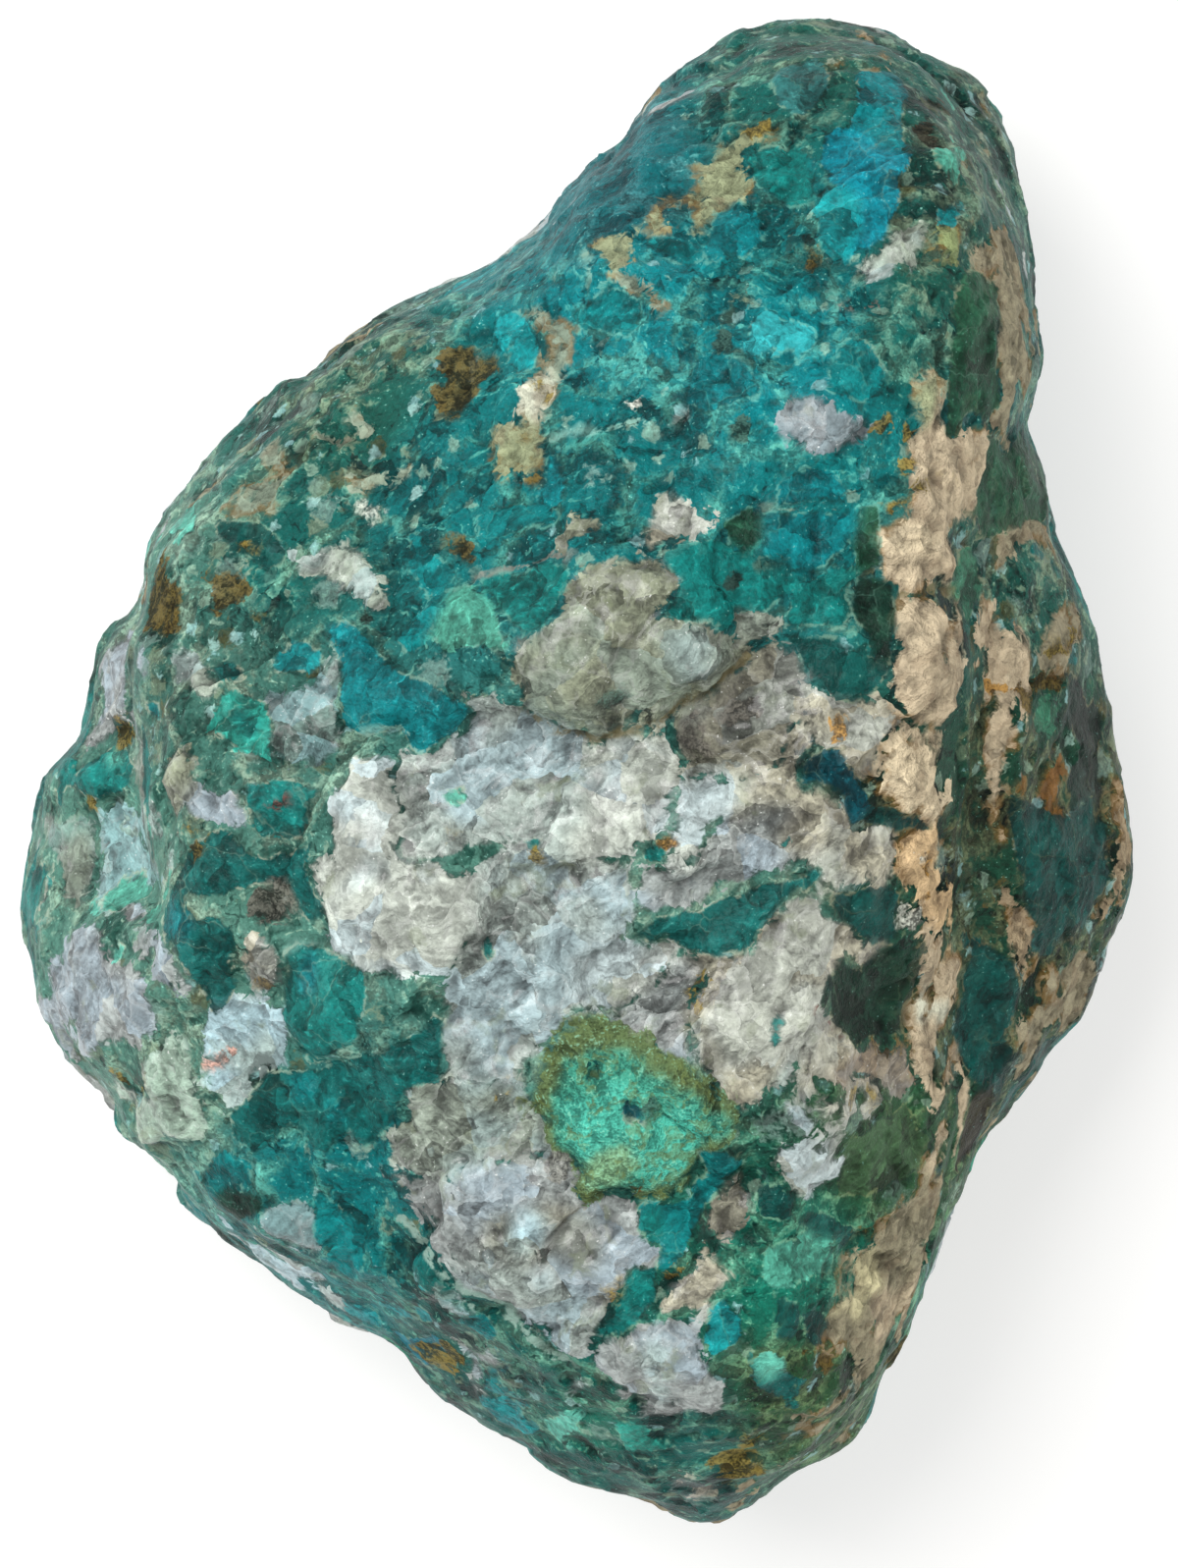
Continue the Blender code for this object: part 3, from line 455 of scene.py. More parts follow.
# ---- Chrysocolla ----
# Fragments of dense chrysocolla: sky blue on the top lobe, teal and near-black green below. They are
# waxy and smooth beside the quartz, with fine pale cracks, and stand a hair proud where they are hard.
CHRYSOCOLLA_TINTS = {
    "sky": "#037686", "blue": "#066e74", "navy": "#054955", "turquoise": "#128488",
    "pale_blue": "#339a9f", "teal": "#066f71", "deep_teal": "#0a5754", "green_teal": "#0f6d68",
    "bottle": "#0a4440", "dark_green": "#163024", "moss": "#274c37", "leaf": "#356850",
    "olive": "#42563a", "mint": "#2e9283", "pale_mint": "#6fb9a6", "sage": "#589b87",
    "black": "#1d2923", "brown": "#302419", "slate": "#356a69",
}
clasts = Patches(CHRYSOCOLLA_TINTS, "green_teal", vein(4, 8.0, 0.12), 0.45)
for tint, lift, outline in (
    ("sky", 0.15, [(12.6, 32.6), (14.7, 32.8), (15.2, 32), (17, 31.4), (15.4, 26.8), (14.6, 26.4),
     (14, 26.8), (14.4, 28.2), (14, 29.4), (12.4, 30.8)]),
    ("turquoise", 0, [(12, 29.2), (12.8, 29.8), (14, 29.4), (14.6, 28.4), (14, 26), (13.2, 26),
     (12.4, 27)]),
    ("blue", 0, [(14, 32.8), (14.2, 34.4), (14.9, 35.6), (15.8, 35.9), (16.8, 35.6), (17, 34.4),
     (16.5, 33.2), (16.6, 32.2), (17.2, 31.6), (16, 31.6)]),
    ("green_teal", 0, [(8.6, 31), (9.8, 31.8), (11.4, 31.8), (12.2, 31.2), (12, 29.2), (10.6, 29),
     (9.2, 29.8)]),
    ("slate", 0, [(10, 35.6), (11, 36.2), (12, 36.2), (13, 35.4), (12.4, 34.2), (11.4, 33.4),
     (10.2, 33.8)]),
    ("blue", 0.15, [(7, 28.2), (8.2, 28.8), (9.2, 28.6), (9.4, 27.4), (8.8, 26.4), (6.6, 26), (6.2, 26.4)]),
    ("teal", 0, [(3.4, 27), (6.2, 27), (6.3, 26.2), (5.6, 25.8), (3.6, 26.3)]),
    ("turquoise", 0, [(-3.9, 22.9), (-2.9, 23.3), (-1.9, 21.8), (-2.2, 20.8), (-3, 20.3), (-3.6, 20.8),
     (-3.3, 21.5), (-4.3, 21.2)]),
    ("teal", 0, [(0, 23.2), (1.8, 24.8), (3.2, 23.8), (3.3, 22.9), (2.6, 22.2), (0.2, 22.6)]),
    ("blue", 0.1, [(5.2, 18.6), (6, 20.8), (7.2, 21.4), (8.4, 20.8), (9.2, 19.2), (6.6, 18.2)]),
    ("pale_blue", 0, [(9, 23.2), (9.8, 23.6), (10.6, 22.8), (11.8, 22.6), (12.1, 22), (11.2, 20.6),
     (10.9, 21.6), (9.6, 21.2), (9, 20.4), (8.6, 21.6)]),
    ("teal", 0, [(13.6, 21.8), (14.6, 22), (15.6, 20.2), (15.4, 19.2), (14.6, 18.8), (12.4, 19.4)]),
    ("blue", 0.1, [(9.2, 13.2), (13.8, 13.1), (14.4, 13.4), (14.3, 12.2), (12.4, 10.2), (11, 10.2),
     (9, 11.2)]),
    ("green_teal", 0.1, [(4.3, 11.2), (7.4, 11.7), (8.3, 11.1), (9.4, 11.1), (12, 9.9), (9.7, 8.2),
     (8.1, 8.1), (8, 7), (4.6, 8.1), (5.3, 9.8)]),
    ("blue", 0, [(10.2, 14.8), (11.6, 15.3), (12.9, 15.1), (13.8, 14.2), (13.7, 13.5), (10.2, 13.6)]),
    ("moss", -0.1, [(7.2, 12.6), (8.8, 13.6), (9.4, 13.2), (9.6, 12.2), (9.2, 11.3), (8.4, 11.2)]),
    ("teal", 0.15, [(-8.8, 12.3), (-7.9, 12), (-6.1, 10), (-7.9, 6.3), (-8.6, 6.2), (-9.2, 6.8),
     (-7.6, 8.3), (-7.4, 9), (-8.3, 10)]),
    ("green_teal", 0.1, [(-4.5, 10), (-3.2, 9.9), (-1.9, 10.6), (-0.8, 10.4), (-0.2, 9.6), (-1.7, 7.3),
     (-2.5, 7.1), (-3.4, 7.6), (-4.9, 9.4)]),
    ("teal", 0, [(-5, 12.9), (-3.9, 13.4), (-1.1, 13.4), (-0.9, 12.9), (-1.8, 12.2), (-2.6, 12.3),
     (-4.6, 11), (-5.2, 11.6)]),
    ("blue", 0, [(-1.6, 16), (-0.9, 16.4), (-0.5, 14.2), (-0.9, 13.3), (-1.9, 13.4)]),
    ("sage", 0, [(-6.6, 9.2), (-5.6, 9.6), (-4.2, 8.3), (-3.6, 6.4), (-4.2, 6), (-5, 6.4), (-7, 6),
     (-7.3, 6.6)]),
    ("blue", 0.3, [(-12.8, 7.6), (-10.6, 7), (-9.9, 5.6), (-5.3, 3.2), (-7.6, 0.9), (-8.2, 1.1), (-9, 2.4),
     (-10.6, 1.9), (-11.6, 2), (-11.8, 4.6)]),
    ("turquoise", 0, [(-15.3, 5.9), (-14.7, 6.5), (-13.6, 6.4), (-13, 5.8), (-13.6, 5), (-14.6, 4.9),
     (-15.3, 5.3)]),
    ("mint", 0, [(-18.8, 1.9), (-17.8, 4), (-16, 3.4), (-15.3, 0.1)]),
    ("green_teal", 0, [(-17.9, 2.7), (-17, 3.2), (-16.2, 2.3), (-16.5, 1.2)]),
    ("deep_teal", 0, oval(-17.6, 4.9, 0.9, 0.4, -20)),
    ("teal", 0, oval(-21.2, 2.9, 0.5, 0.4)),
    ("bottle", 0, [(-17.8, 12.6), (-16.4, 12.6), (-15.4, 12), (-14.9, 11), (-15.6, 10), (-17.6, 11),
     (-18, 12)]),
    ("pale_mint", 0, [(-21.4, 12.3), (-19.4, 12.5), (-18.9, 11.9), (-19.8, 11.2), (-20.9, 11),
     (-21.5, 11.4)]),
    ("green_teal", 0.15, [(-16.9, -0.6), (-14.2, -0.5), (-13.5, -1), (-13.9, -3.2), (-15, -3.7),
     (-16, -3.5), (-16.6, -2.6)]),
    ("deep_teal", 0.15, [(-21.4, -6.6), (-20.2, -4.2), (-18.6, -3.2), (-17.6, -3.2), (-17, -4),
     (-15.6, -4.5), (-13.4, -3.5), (-13.8, -5), (-12.9, -6.8), (-13, -7.6), (-13.9, -7.6), (-15, -5.9),
     (-16.2, -5.8), (-18.2, -6.4), (-19.8, -6.3), (-19.9, -7.2), (-19.4, -7.7), (-18.2, -7.6),
     (-17.5, -8.2), (-17.4, -10.8), (-18.4, -12.6), (-21.3, -7.4)]),
    ("blue", 0, [(-20.6, -7.2), (-19.8, -7), (-19.4, -7.8), (-20, -8.8), (-20.9, -8.2)]),
    ("green_teal", 0.2, [(-15, -9.2), (-14.2, -8.8), (-10.8, -10), (-10.9, -12.4), (-11.4, -13.8),
     (-13.2, -15), (-14.8, -12.6)]),
    ("blue", 0, [(-14.2, -9.6), (-13.4, -9.3), (-13, -10.4), (-13.4, -11.6), (-14.2, -10.8)]),
    ("deep_teal", 0.15, [(-17.7, -17.6), (-15.8, -15.4), (-13.4, -15.2), (-9, -14), (-8, -13.4),
     (-7.6, -12.2), (-6.9, -12.6), (-7, -15.6), (-9, -16.4), (-10, -18.8), (-10.8, -19.2), (-11.6, -18.4),
     (-12.8, -19.4), (-14.6, -17.6), (-15.2, -18.8), (-16.4, -19.4), (-17.4, -18.6)]),
    ("teal", 0, [(-14.6, -15.4), (-13.4, -15.4), (-13, -16.4), (-13.8, -17), (-14.6, -16.4)]),
    ("teal", 0, [(-12.8, -16.8), (-12, -16.6), (-12, -18), (-12.8, -18)]),
    ("moss", 0, [(14.3, 13.3), (15.1, 13.3), (15.4, 10.5), (14.6, 9.9), (14, 10.2)]),
    ("dark_green", 0.1, [(14.3, 9.8), (16, 9.6), (16.2, 5.4), (15.4, 5.2), (14.2, 8.2)]),
    ("bottle", 0.15, [(10.8, 6.8), (13, 6.8), (13.9, 6), (14.6, 6.4), (15.4, 5.2), (16.1, 5.2), (14.2, 3.4),
     (13.2, 3.6), (11.2, 5.8)]),
    ("green_teal", 0, [(11, 8.8), (13.2, 10.4), (14, 10), (14, 8.2), (13.6, 7.4), (10.9, 7.4)]),
    ("navy", -0.15, [(11.6, 0.2), (12.2, 1), (13.2, 1), (14.6, -0.3), (15.4, -1.9), (14.4, -2.8),
     (13.5, -1.2), (11.6, -0.5)]),
    ("bottle", -0.15, [(15.2, -1.7), (16.4, -2.3), (17.9, -2.3), (17.9, -2.6), (16.2, -3.2), (14.5, -2.7)]),
    ("deep_teal", 0.15, [(2.6, -8.6), (3.9, -7.4), (6.2, -7.1), (12, -5), (12.6, -5.2), (11.6, -6.4),
     (11.3, -6.1), (9, -8.4), (8.6, -9.2), (7.2, -9.6), (4.4, -8.4), (3.6, -8.9), (3.4, -8.5)]),
    ("bottle", 0, [(12.9, -6.6), (13.6, -6.1), (14.3, -6.2), (15, -5.4), (16.2, -6.4), (16.1, -8.4),
     (15.2, -8.8), (14.2, -8.4)]),
    ("dark_green", 0, [(12.4, -11.9), (13.4, -10), (14.5, -10.2), (15.4, -8.9), (17.4, -8.9), (17.2, -11.2),
     (16.6, -12), (16.7, -13.4), (14.6, -13.7), (14, -14.2)]),
    ("moss", 0, [(20.5, 17), (22.9, 17.2), (24.2, 16), (24.6, 14), (22.2, 12.2), (21, 11.8), (19.8, 13.6),
     (19.9, 14.9), (20.8, 15.8)]),
    ("leaf", 0, [(18.3, 9.2), (19.6, 11.4), (20.4, 11.2), (21.2, 9.2), (20, 6.6), (19.4, 6.6), (19, 8.2)]),
    ("moss", 0.15, [(19.6, 25.6), (20.6, 25.2), (21.5, 23), (20.9, 19.2), (19.4, 16.9), (18.9, 16.9),
     (18.5, 19.2)]),
    ("sage", 0, [(17.8, 31.6), (19.2, 32.4), (19.9, 30.4), (19.4, 29.6)]),
    ("turquoise", 0, [(18.2, 28.2), (18.8, 28.8), (19.8, 29), (19.2, 27.7), (18.4, 27.8)]),
    ("bottle", 0, [(22, -1.2), (26.6, -2.8), (26.8, -5), (24.6, -9.4), (23.4, -9.4), (21.8, -2.2)]),
    ("bottle", 0, [(19.8, -8.2), (22.2, -9.8), (22.6, -11.4), (21.8, -13.6), (22.2, -14.6), (21.4, -16),
     (20, -16), (19.2, -15), (19, -13)]),
    ("black", 0, [(25.2, 4.6), (26.6, 4.4), (27.2, 2), (26.6, -2.4), (25.6, -2.2), (25, 0.4)]),
    ("leaf", 0, [(23.4, 2.8), (24.2, 3.4), (24.7, 2.6), (24.5, 1.4), (23.8, 1.2), (23.3, 1.8)]),
    ("deep_teal", 0, oval(25.7, 5.7, 0.9, 0.45, -10)),
    ("deep_teal", 0, oval(24.2, 10.9, 0.7, 0.45, 30)),
    ("brown", 0, [(20, -16.1), (21.2, -15.9), (21.8, -18.2), (19.9, -21), (19.3, -20.6)]),
    ("bottle", 0, [(18.9, -20.4), (19.5, -20.8), (19.8, -21.8), (18.7, -23.8), (18.3, -23.2)]),
    ("teal", 0.1, [(6.2, -19.4), (6.6, -20.6), (4.8, -22), (3.2, -22.2), (3.2, -23.4), (4.2, -24.2),
     (4.3, -25.4), (4.9, -25.2), (6, -23), (8.2, -20), (7.8, -19.2)]),
    ("green_teal", 0, [(3.3, -22.4), (4.2, -22.3), (4.4, -23.8), (3.9, -24.3), (3.3, -23.4)]),
    ("green_teal", 0, [(2.8, -25.2), (4, -25.4), (4.1, -27), (2.4, -28.6), (1.4, -28.9), (0.9, -28.6),
     (2, -27.4)]),
    ("turquoise", 0.15, [(6.9, -27.2), (7.6, -26.8), (8.5, -28.8), (7, -29.8), (6.5, -29)]),
    ("bottle", 0, [(9.2, -21.2), (10.2, -21), (11.2, -21.6), (11.1, -22.6), (10.6, -23), (9.4, -23)]),
    ("bottle", 0, [(10.2, -26.8), (11, -27), (11.4, -28), (10.8, -29), (10.1, -28.8)]),
    ("sage", 0, [(9.6, -24.6), (11.6, -23.6), (12.8, -24), (13.4, -24.8), (13.2, -25.6), (12.2, -25.4),
     (10.2, -26.4), (9.4, -25.6)]),
    ("teal", 0, [(-13.4, -21), (-12.6, -22), (-11, -23), (-10.8, -25.6), (-11.6, -26), (-12.6, -25.2),
     (-13.2, -24)]),
    ("turquoise", 0, [(-9.7, -26.6), (-9, -26.4), (-8, -26.8), (-8, -27.6), (-8.8, -28), (-9.5, -27.4)]),
    ("teal", 0, [(-19.6, -20.6), (-18.2, -19.4), (-16.8, -19.8), (-16.4, -21.2), (-19.2, -21.8)]),
    ("dark_green", 0, [(-19, -21.6), (-17.6, -21.2), (-16.2, -21.6), (-15.9, -22.4), (-18, -23.3),
     (-19, -22.6)]),
    ("teal", 0, [(-5.4, -27.6), (-4.6, -27.6), (-3, -31.8), (-4, -31.2)]),
    ("turquoise", 0, [(-12.4, -27.6), (-11, -27.2), (-9.8, -28.2), (-9.6, -29.4), (-12.2, -28.6)]),
    ("sky", 0, [(-8.4, -28.8), (-7.4, -28.6), (-6.6, -29.8), (-7.4, -31), (-8.6, -30.4)]),
    ("pale_mint", 0, [(-1.8, -32.4), (0.2, -32.2), (1.2, -33), (0, -33.6), (-1.6, -33.4)]),
    ("turquoise", 0, [(-5, -31.6), (-3.6, -32), (-2.6, -33.2), (-3.6, -34), (-5, -33)]),
    ("bottle", 0, [(-2.4, -33.8), (-0.6, -34), (0.6, -35.2), (-0.4, -36), (-2, -35.2)]),
    ("bottle", 0, [(11.2, -22.8), (12.6, -22.6), (14.6, -23.6), (13.8, -24.2), (12, -23.8)]),
    ("deep_teal", 0, [(8.8, -29.6), (10.2, -30.6), (11.6, -31), (10.8, -32.4), (9.2, -31.6)]),
    ("bottle", 0, [(12.4, -27.4), (13.2, -28.2), (12.6, -29.4), (11.6, -29), (11.6, -27.8)]),
    ("pale_mint", 0, oval(9.8, -30.3, 0.6, 0.7, 20)),
    ("mint", 0, [(1.8, -33), (3, -33), (5, -34.4), (2.4, -34.3)]),
    ("bottle", 0, [(2.7, -34.6), (3.6, -34.6), (3.8, -35.8), (3.2, -36.2)]),
    ("olive", 0, [(13.6, -19), (16.4, -17.1), (18.3, -19), (16.6, -21), (15.8, -20.9), (14.6, -21.8),
     (13.5, -21.6), (13.2, -20.6)]),
    ("green_teal", 0.3, [(-26.4, -0.8), (-25.2, 0.6), (-24, 1.2), (-22.8, 1.2), (-22.2, 0.4), (-23, -1),
     (-24.2, -1.7)]),
    ("pale_mint", 0, oval(-23.4, 0.7, 0.5, 0.4)),
    ("green_teal", 0, [(-28.8, -5.6), (-27, -5.6), (-26.7, -7.2), (-27.4, -8.2), (-28.8, -7.8)]),
    ("sage", 0, [(-22.9, -5), (-22.2, -4.8), (-21.8, -6), (-22.2, -7.4), (-23.2, -7.8), (-23.8, -7)]),
    ("pale_mint", 0, [(-24.8, -7.2), (-24.2, -6.4), (-23.9, -7.2), (-24.6, -7.8)]),
    ("pale_mint", 0, oval(-23.3, -9.2, 0.5, 0.4)),
    ("sage", 0, [(-6.8, -1), (-6, -0.8), (-5.5, -1.3), (-6, -1.8), (-6.6, -1.6)]),
):
    clasts.add(tint, outline, lift)
for x, y, half_x, half_y in (
    (-2.2, -3.8, 0.35, 0.25), (4.0, -4.3, 0.6, 0.45), (-4.5, -9.1, 0.28, 0.5), (10.2, -13.0, 0.25, 0.3),
    (10.2, -13.9, 0.22, 0.28), (10.8, -3.8, 0.25, 0.4),
):
    clasts.add("green_teal", oval(x, y, half_x, half_y))
clasts.add("navy", [(2.5, -16.8), (3.2, -16.9), (3.3, -17.8), (2.5, -17.8)])
clasts.add("deep_teal", [(0.6, -14.9), (1, -14.9), (1, -15.6), (0.6, -15.6)])
clasts.settle()


# ---- Rust, ochre and dark specks ----
# Oxidised ore grains: earthy rust with ochre crumbs in shallow pits, and small black or white specks.
SPECK_TINTS = {
    "rust": "#5f5026", "ochre": "#7f6f34", "amber": "#a9803f", "umber": "#3a3328", "black": "#26322c",
    "grey": "#84867f", "white": "#c5c9bd", "red": "#5a3530", "pink": "#c99c8c", "smoke": "#65625a",
    "moss": "#3c5a50",
}
rust = Patches(SPECK_TINTS, "rust", vein(5, 5.0, 0.72))
for tint, lift, outline in (
    ("rust", -0.15, [(-6.9, 21.2), (-6.2, 21.9), (-5.1, 20.9), (-4.2, 20.8), (-4.1, 20.2), (-6, 18.2),
     (-7, 18.4), (-7.4, 19.3), (-6.8, 19.9)]),
    ("rust", -0.1, [(-6.6, 11.3), (-6, 11.7), (-5.2, 10.8), (-5.6, 10.3), (-6.2, 10.5)]),
    ("rust", 0, [(-22.4, 9), (-21.9, 10.1), (-20.3, 9.8), (-20.2, 7.4), (-21, 6.8), (-21.7, 7.3)]),
    ("rust", 0, [(-18.7, 9.6), (-17.8, 10.1), (-17, 9.9), (-16.8, 9.2), (-17.9, 7.8), (-18.5, 8.2)]),
    ("smoke", -0.1, [(-16.8, -6.6), (-16, -6), (-15, -6), (-14.6, -7), (-14.8, -8), (-16, -7.9),
     (-16.7, -7.3)]),
    ("rust", 0, [(22.2, 4.4), (24.2, 4.4), (25, 3.6), (23.2, 3.2)]),
    ("rust", 0, [(14.6, -13.8), (16.8, -13.6), (16.9, -14.2), (16, -14.5), (15, -14.3)]),
):
    rust.add(tint, outline, lift)
for x, y, half_x, half_y, turn, tint in (
    (-16.8, 11.0, 0.4, 0.3, 0, "ochre"), (-22.6, 2.0, 0.5, 0.7, 20, "ochre"),
    (15.7, 17.5, 0.4, 0.4, 0, "ochre"), (17.1, 17.4, 0.35, 0.6, -25, "ochre"),
    (16.9, 15.8, 0.6, 0.3, 20, "ochre"), (17.6, 14.4, 0.8, 0.3, 35, "ochre"),
    (16.2, 13.5, 0.7, 0.15, 20, "ochre"), (9.2, 32.6, 0.6, 0.5, 20, "ochre"),
    (12.0, 26.0, 0.4, 0.4, 0, "rust"), (-4.0, -16.7, 0.6, 0.4, 10, "ochre"),
    (6.2, -11.2, 0.25, 0.8, -12, "ochre"), (4.6, -3.7, 0.35, 0.3, 0, "amber"),
    (-2.1, -4.4, 0.3, 0.3, 0, "ochre"), (-6.2, -3.2, 0.2, 0.6, 20, "ochre"),
    (-19.6, -4.2, 0.5, 0.5, 0, "rust"), (-19.3, -2.7, 0.4, 0.2, -20, "ochre"),
    (-16.0, -10.8, 0.6, 0.3, -30, "rust"), (2.9, -21.1, 0.6, 0.25, 10, "rust"),
    (1.9, -26.8, 0.2, 0.8, -10, "ochre"), (5.2, -25.5, 1.0, 0.2, 40, "ochre"),
    (-7.2, -30.0, 0.6, 0.7, 20, "ochre"), (7.9, -35.4, 0.6, 0.9, 0, "ochre"),
    (9.3, -34.0, 0.5, 0.5, 0, "ochre"), (12.6, -30.3, 0.4, 0.3, 0, "rust"),
    (11.6, -29.5, 0.2, 0.25, 0, "rust"), (14.6, -23.6, 0.35, 0.6, 0, "rust"),
    (17.4, -6.3, 0.5, 0.3, 30, "amber"), (17.7, -4.7, 0.5, 0.6, 0, "amber"),
    (14.4, -17.1, 0.8, 0.4, 0, "ochre"), (24.8, 6.5, 0.5, 0.3, 30, "ochre"),
    (21.6, 4.1, 0.7, 0.25, 0, "amber"), (22.1, -17.2, 0.4, 0.8, 20, "ochre"),
    (-2.7, 16.8, 0.35, 0.2, -20, "rust"), (-1.9, 19.2, 0.15, 0.5, 0, "ochre"),
    (-2.1, 15.0, 0.25, 0.4, 0, "rust"), (13.3, 2.2, 0.2, 0.5, -20, "amber"),
    (-24.8, -1.9, 0.5, 0.25, 0, "ochre"), (-22.7, -15.9, 0.3, 0.7, -10, "ochre"),
    (-15.3, -1.7, 0.5, 0.2, 25, "red"), (-18.0, -14.4, 0.9, 0.25, 30, "pink"),
    (19.5, 35.1, 0.8, 0.3, 8, "umber"), (17.9, 32.6, 0.4, 0.6, -20, "umber"),
    (17.4, 31.3, 0.2, 0.7, -8, "black"), (18.2, 29.2, 0.7, 0.25, -10, "black"),
    (14.4, 24.0, 0.8, 0.25, -5, "smoke"), (1.4, 2.6, 0.45, 0.9, 10, "black"),
    (8.4, 3.0, 0.9, 0.7, 30, "smoke"), (6.2, 1.6, 0.5, 1.2, 10, "smoke"),
    (-1.2, -24.9, 0.8, 0.35, -20, "black"), (-10.9, 8.1, 0.3, 0.2, 0, "black"),
    (3.5, 2.4, 0.3, 0.4, 0, "black"), (8.1, 9.8, 0.3, 0.2, 30, "black"), (1.7, 3.4, 0.8, 0.5, 10, "moss"),
    (-1.0, -20.0, 0.25, 0.6, 0, "grey"), (3.9, -17.1, 0.3, 0.3, 0, "moss"),
    (9.7, 7.4, 0.3, 0.2, -30, "black"), (9.9, 10.7, 0.6, 0.4, 0, "moss"),
    (8.6, 17.4, 0.5, 0.5, 0, "moss"), (7.8, 21.8, 0.6, 0.25, -35, "moss"),
    (8.8, 20.9, 0.2, 0.9, 35, "moss"), (2.9, 18.6, 0.5, 0.4, 40, "white"),
    (-10.8, 13.1, 0.4, 0.25, 20, "white"), (5.4, 17.7, 0.35, 0.3, 0, "grey"),
    (17.0, -7.4, 0.6, 0.7, 0, "white"), (17.3, -4.3, 0.3, 0.25, 0, "white"),
):
    rust.add(tint, oval(x, y, half_x, half_y, turn))
rust.settle(1)


# ---- Seams ----
# Healed cracks: hair-thin lines, pale with cement or dark where they are open, a little sunk. The lower ridge
# is drawn as a pale line with a line of painted shade just below it, and the left shelf's edge as a line of
# painted shade.
SEAMS = {
    "upper_hair_crack": ("#9fa58a", 0.09, [(9.3, 13.5), (10.8, 13.4), (12.2, 13.35), (13.8, 13.3)]),
    "left_crease": ("#8a8a80", 0.10, [(-5.2, 9.8), (-3.8, 10.2), (-2.4, 10.6), (-1.2, 11.1), (-0.1, 10.8)]),
    "under_lump": ("#6f6644", 0.18, [
        (-2.4, 2.6), (-0.8, 1.8), (0.6, 1.4), (2.0, 1.6), (3.6, 2.0), (5.2, 2.8), (6.4, 3.6), (7.6, 4.7),
        (8.8, 5.6)]),
    "lower_ridge": ("#93b0a4", 0.24, [
        (-9.2, -23.3), (-7.6, -24.4), (-6.4, -25.8), (-5.4, -26.6), (-4.2, -27.2), (-2.8, -28.4),
        (-1.4, -29.6), (-0.2, -30.4)]),
    # Painted shade: a dark line just below the lower ridge, where its steep side falls away.
    "lower_ridge_shade": ("#34473a", 0.16, [
        (-5.0, -26.5), (-3.6, -27.4), (-2.2, -28.5), (-0.8, -29.8), (1.2, -31.2)]),
    # Painted shade along the edge of the left shelf.
    "left_shelf": ("#4f7a6c", 0.12, [
        (-22.2, 5.8), (-21.9, 3.4), (-21.6, 1.0), (-21.4, -1.0), (-21.2, -3.6), (-21.5, -6.4)]),
    "triangle_edge": ("#8fc2b4", 0.08, [
        (-11.7, 2.0), (-10.6, 1.95), (-9.8, 2.2), (-9.0, 2.4), (-8.4, 1.9), (-8.2, 1.1), (-7.6, 0.9)]),
    "pentagon_edge": ("#7fb5a8", 0.08, [(-15.0, -9.2), (-14.2, -8.8), (-13.2, -8.9), (-12.2, -9.6)]),
    "between_nodules": ("#6f6f4a", 0.10, [(16.2, 9.2), (17.4, 9.0), (18.6, 9.2)]),
    "under_clast": ("#7a4a40", 0.08, [(12.2, -12.1), (12.7, -12.8), (13.1, -13.5)]),
    "top_sweep": ("#8fc4b6", 0.16, [(-1.4, 17.0), (0.2, 17.2), (1.6, 17.6), (3.4, 17.8), (4.2, 17.2)]),
    "top_arc": ("#8ac0b2", 0.09, [(0.6, 24.6), (0.9, 25.6), (0.7, 26.4), (0.4, 27.0)]),
}
SEAM_STRAY = 0.7
SEAM_SINK = 0.12
seam_depth = np.full(len(places), FAR)
seam_tint = np.tile(paint("#8a9a88"), (len(places), 1))
for tint, half_width, line in SEAMS.values():
    depth = half_width - edge_distance(line, plan + stray * SEAM_STRAY)
    seam_tint[depth > seam_depth] = paint(tint)
    seam_depth = np.maximum(seam_depth, depth)
seam_depth = np.where(on_top > 0.5, seam_depth, FAR)


# ---- Relief of the broken surface ----
# Each mineral breaks its own way: quartz in tilted faces and flaky steps, chrysocolla in smooth shallow
# plates, the vein and the crust in grains. Nothing goes below the surface that the stone lies on.
ONES = Vector((1.0, 1.0, 1.0))
TILT_SEED = 57.0
FACE_STEEPNESS = 1.6
TREAD = 0.7


def broken_faces(place, size):
    """Height from -1 to 1 on a field of flat broken faces, each tilted its own way."""
    spot = place / size
    face = noise.voronoi(spot)[1][0]
    tilt = noise.cell_vector(face * TILT_SEED) * 2.0 - ONES
    return max(-1.0, min(1.0, (spot - face).dot(tilt) * FACE_STEEPNESS))


def flaky_steps(place, size, count):
    """Height from about -1 to 1 that rises in count flat steps with short steep edges."""
    height = noise.fractal(place / size, 1.0, 2.1, 4) * count
    tread = math.floor(height)
    rise = max(0.0, (height - tread - TREAD) / (1.0 - TREAD))
    return (tread + rise) / count


def share(depth, width=0.25):
    """0 outside a patch and 1 inside it, over a narrow border."""
    return np.clip(depth / width + 0.5, 0.0, 1.0)


crust_share = share(crust.depth)
clast_share = share(clasts.depth)
tan_share = share(tan.depth) * (1.0 - clast_share)
quartz_share = share(quartz.depth) * (1.0 - clast_share) * (1.0 - crust_share) * (1.0 - tan_share)
plain_share = 1.0 - np.maximum.reduce([crust_share, clast_share, tan_share, quartz_share])
raised = quartz.lift * quartz_share + tan.lift * tan_share + clasts.lift * clast_share
raised += crust.lift * (1.0 - clast_share) + rust.lift - SEAM_SINK * share(seam_depth, 0.3)

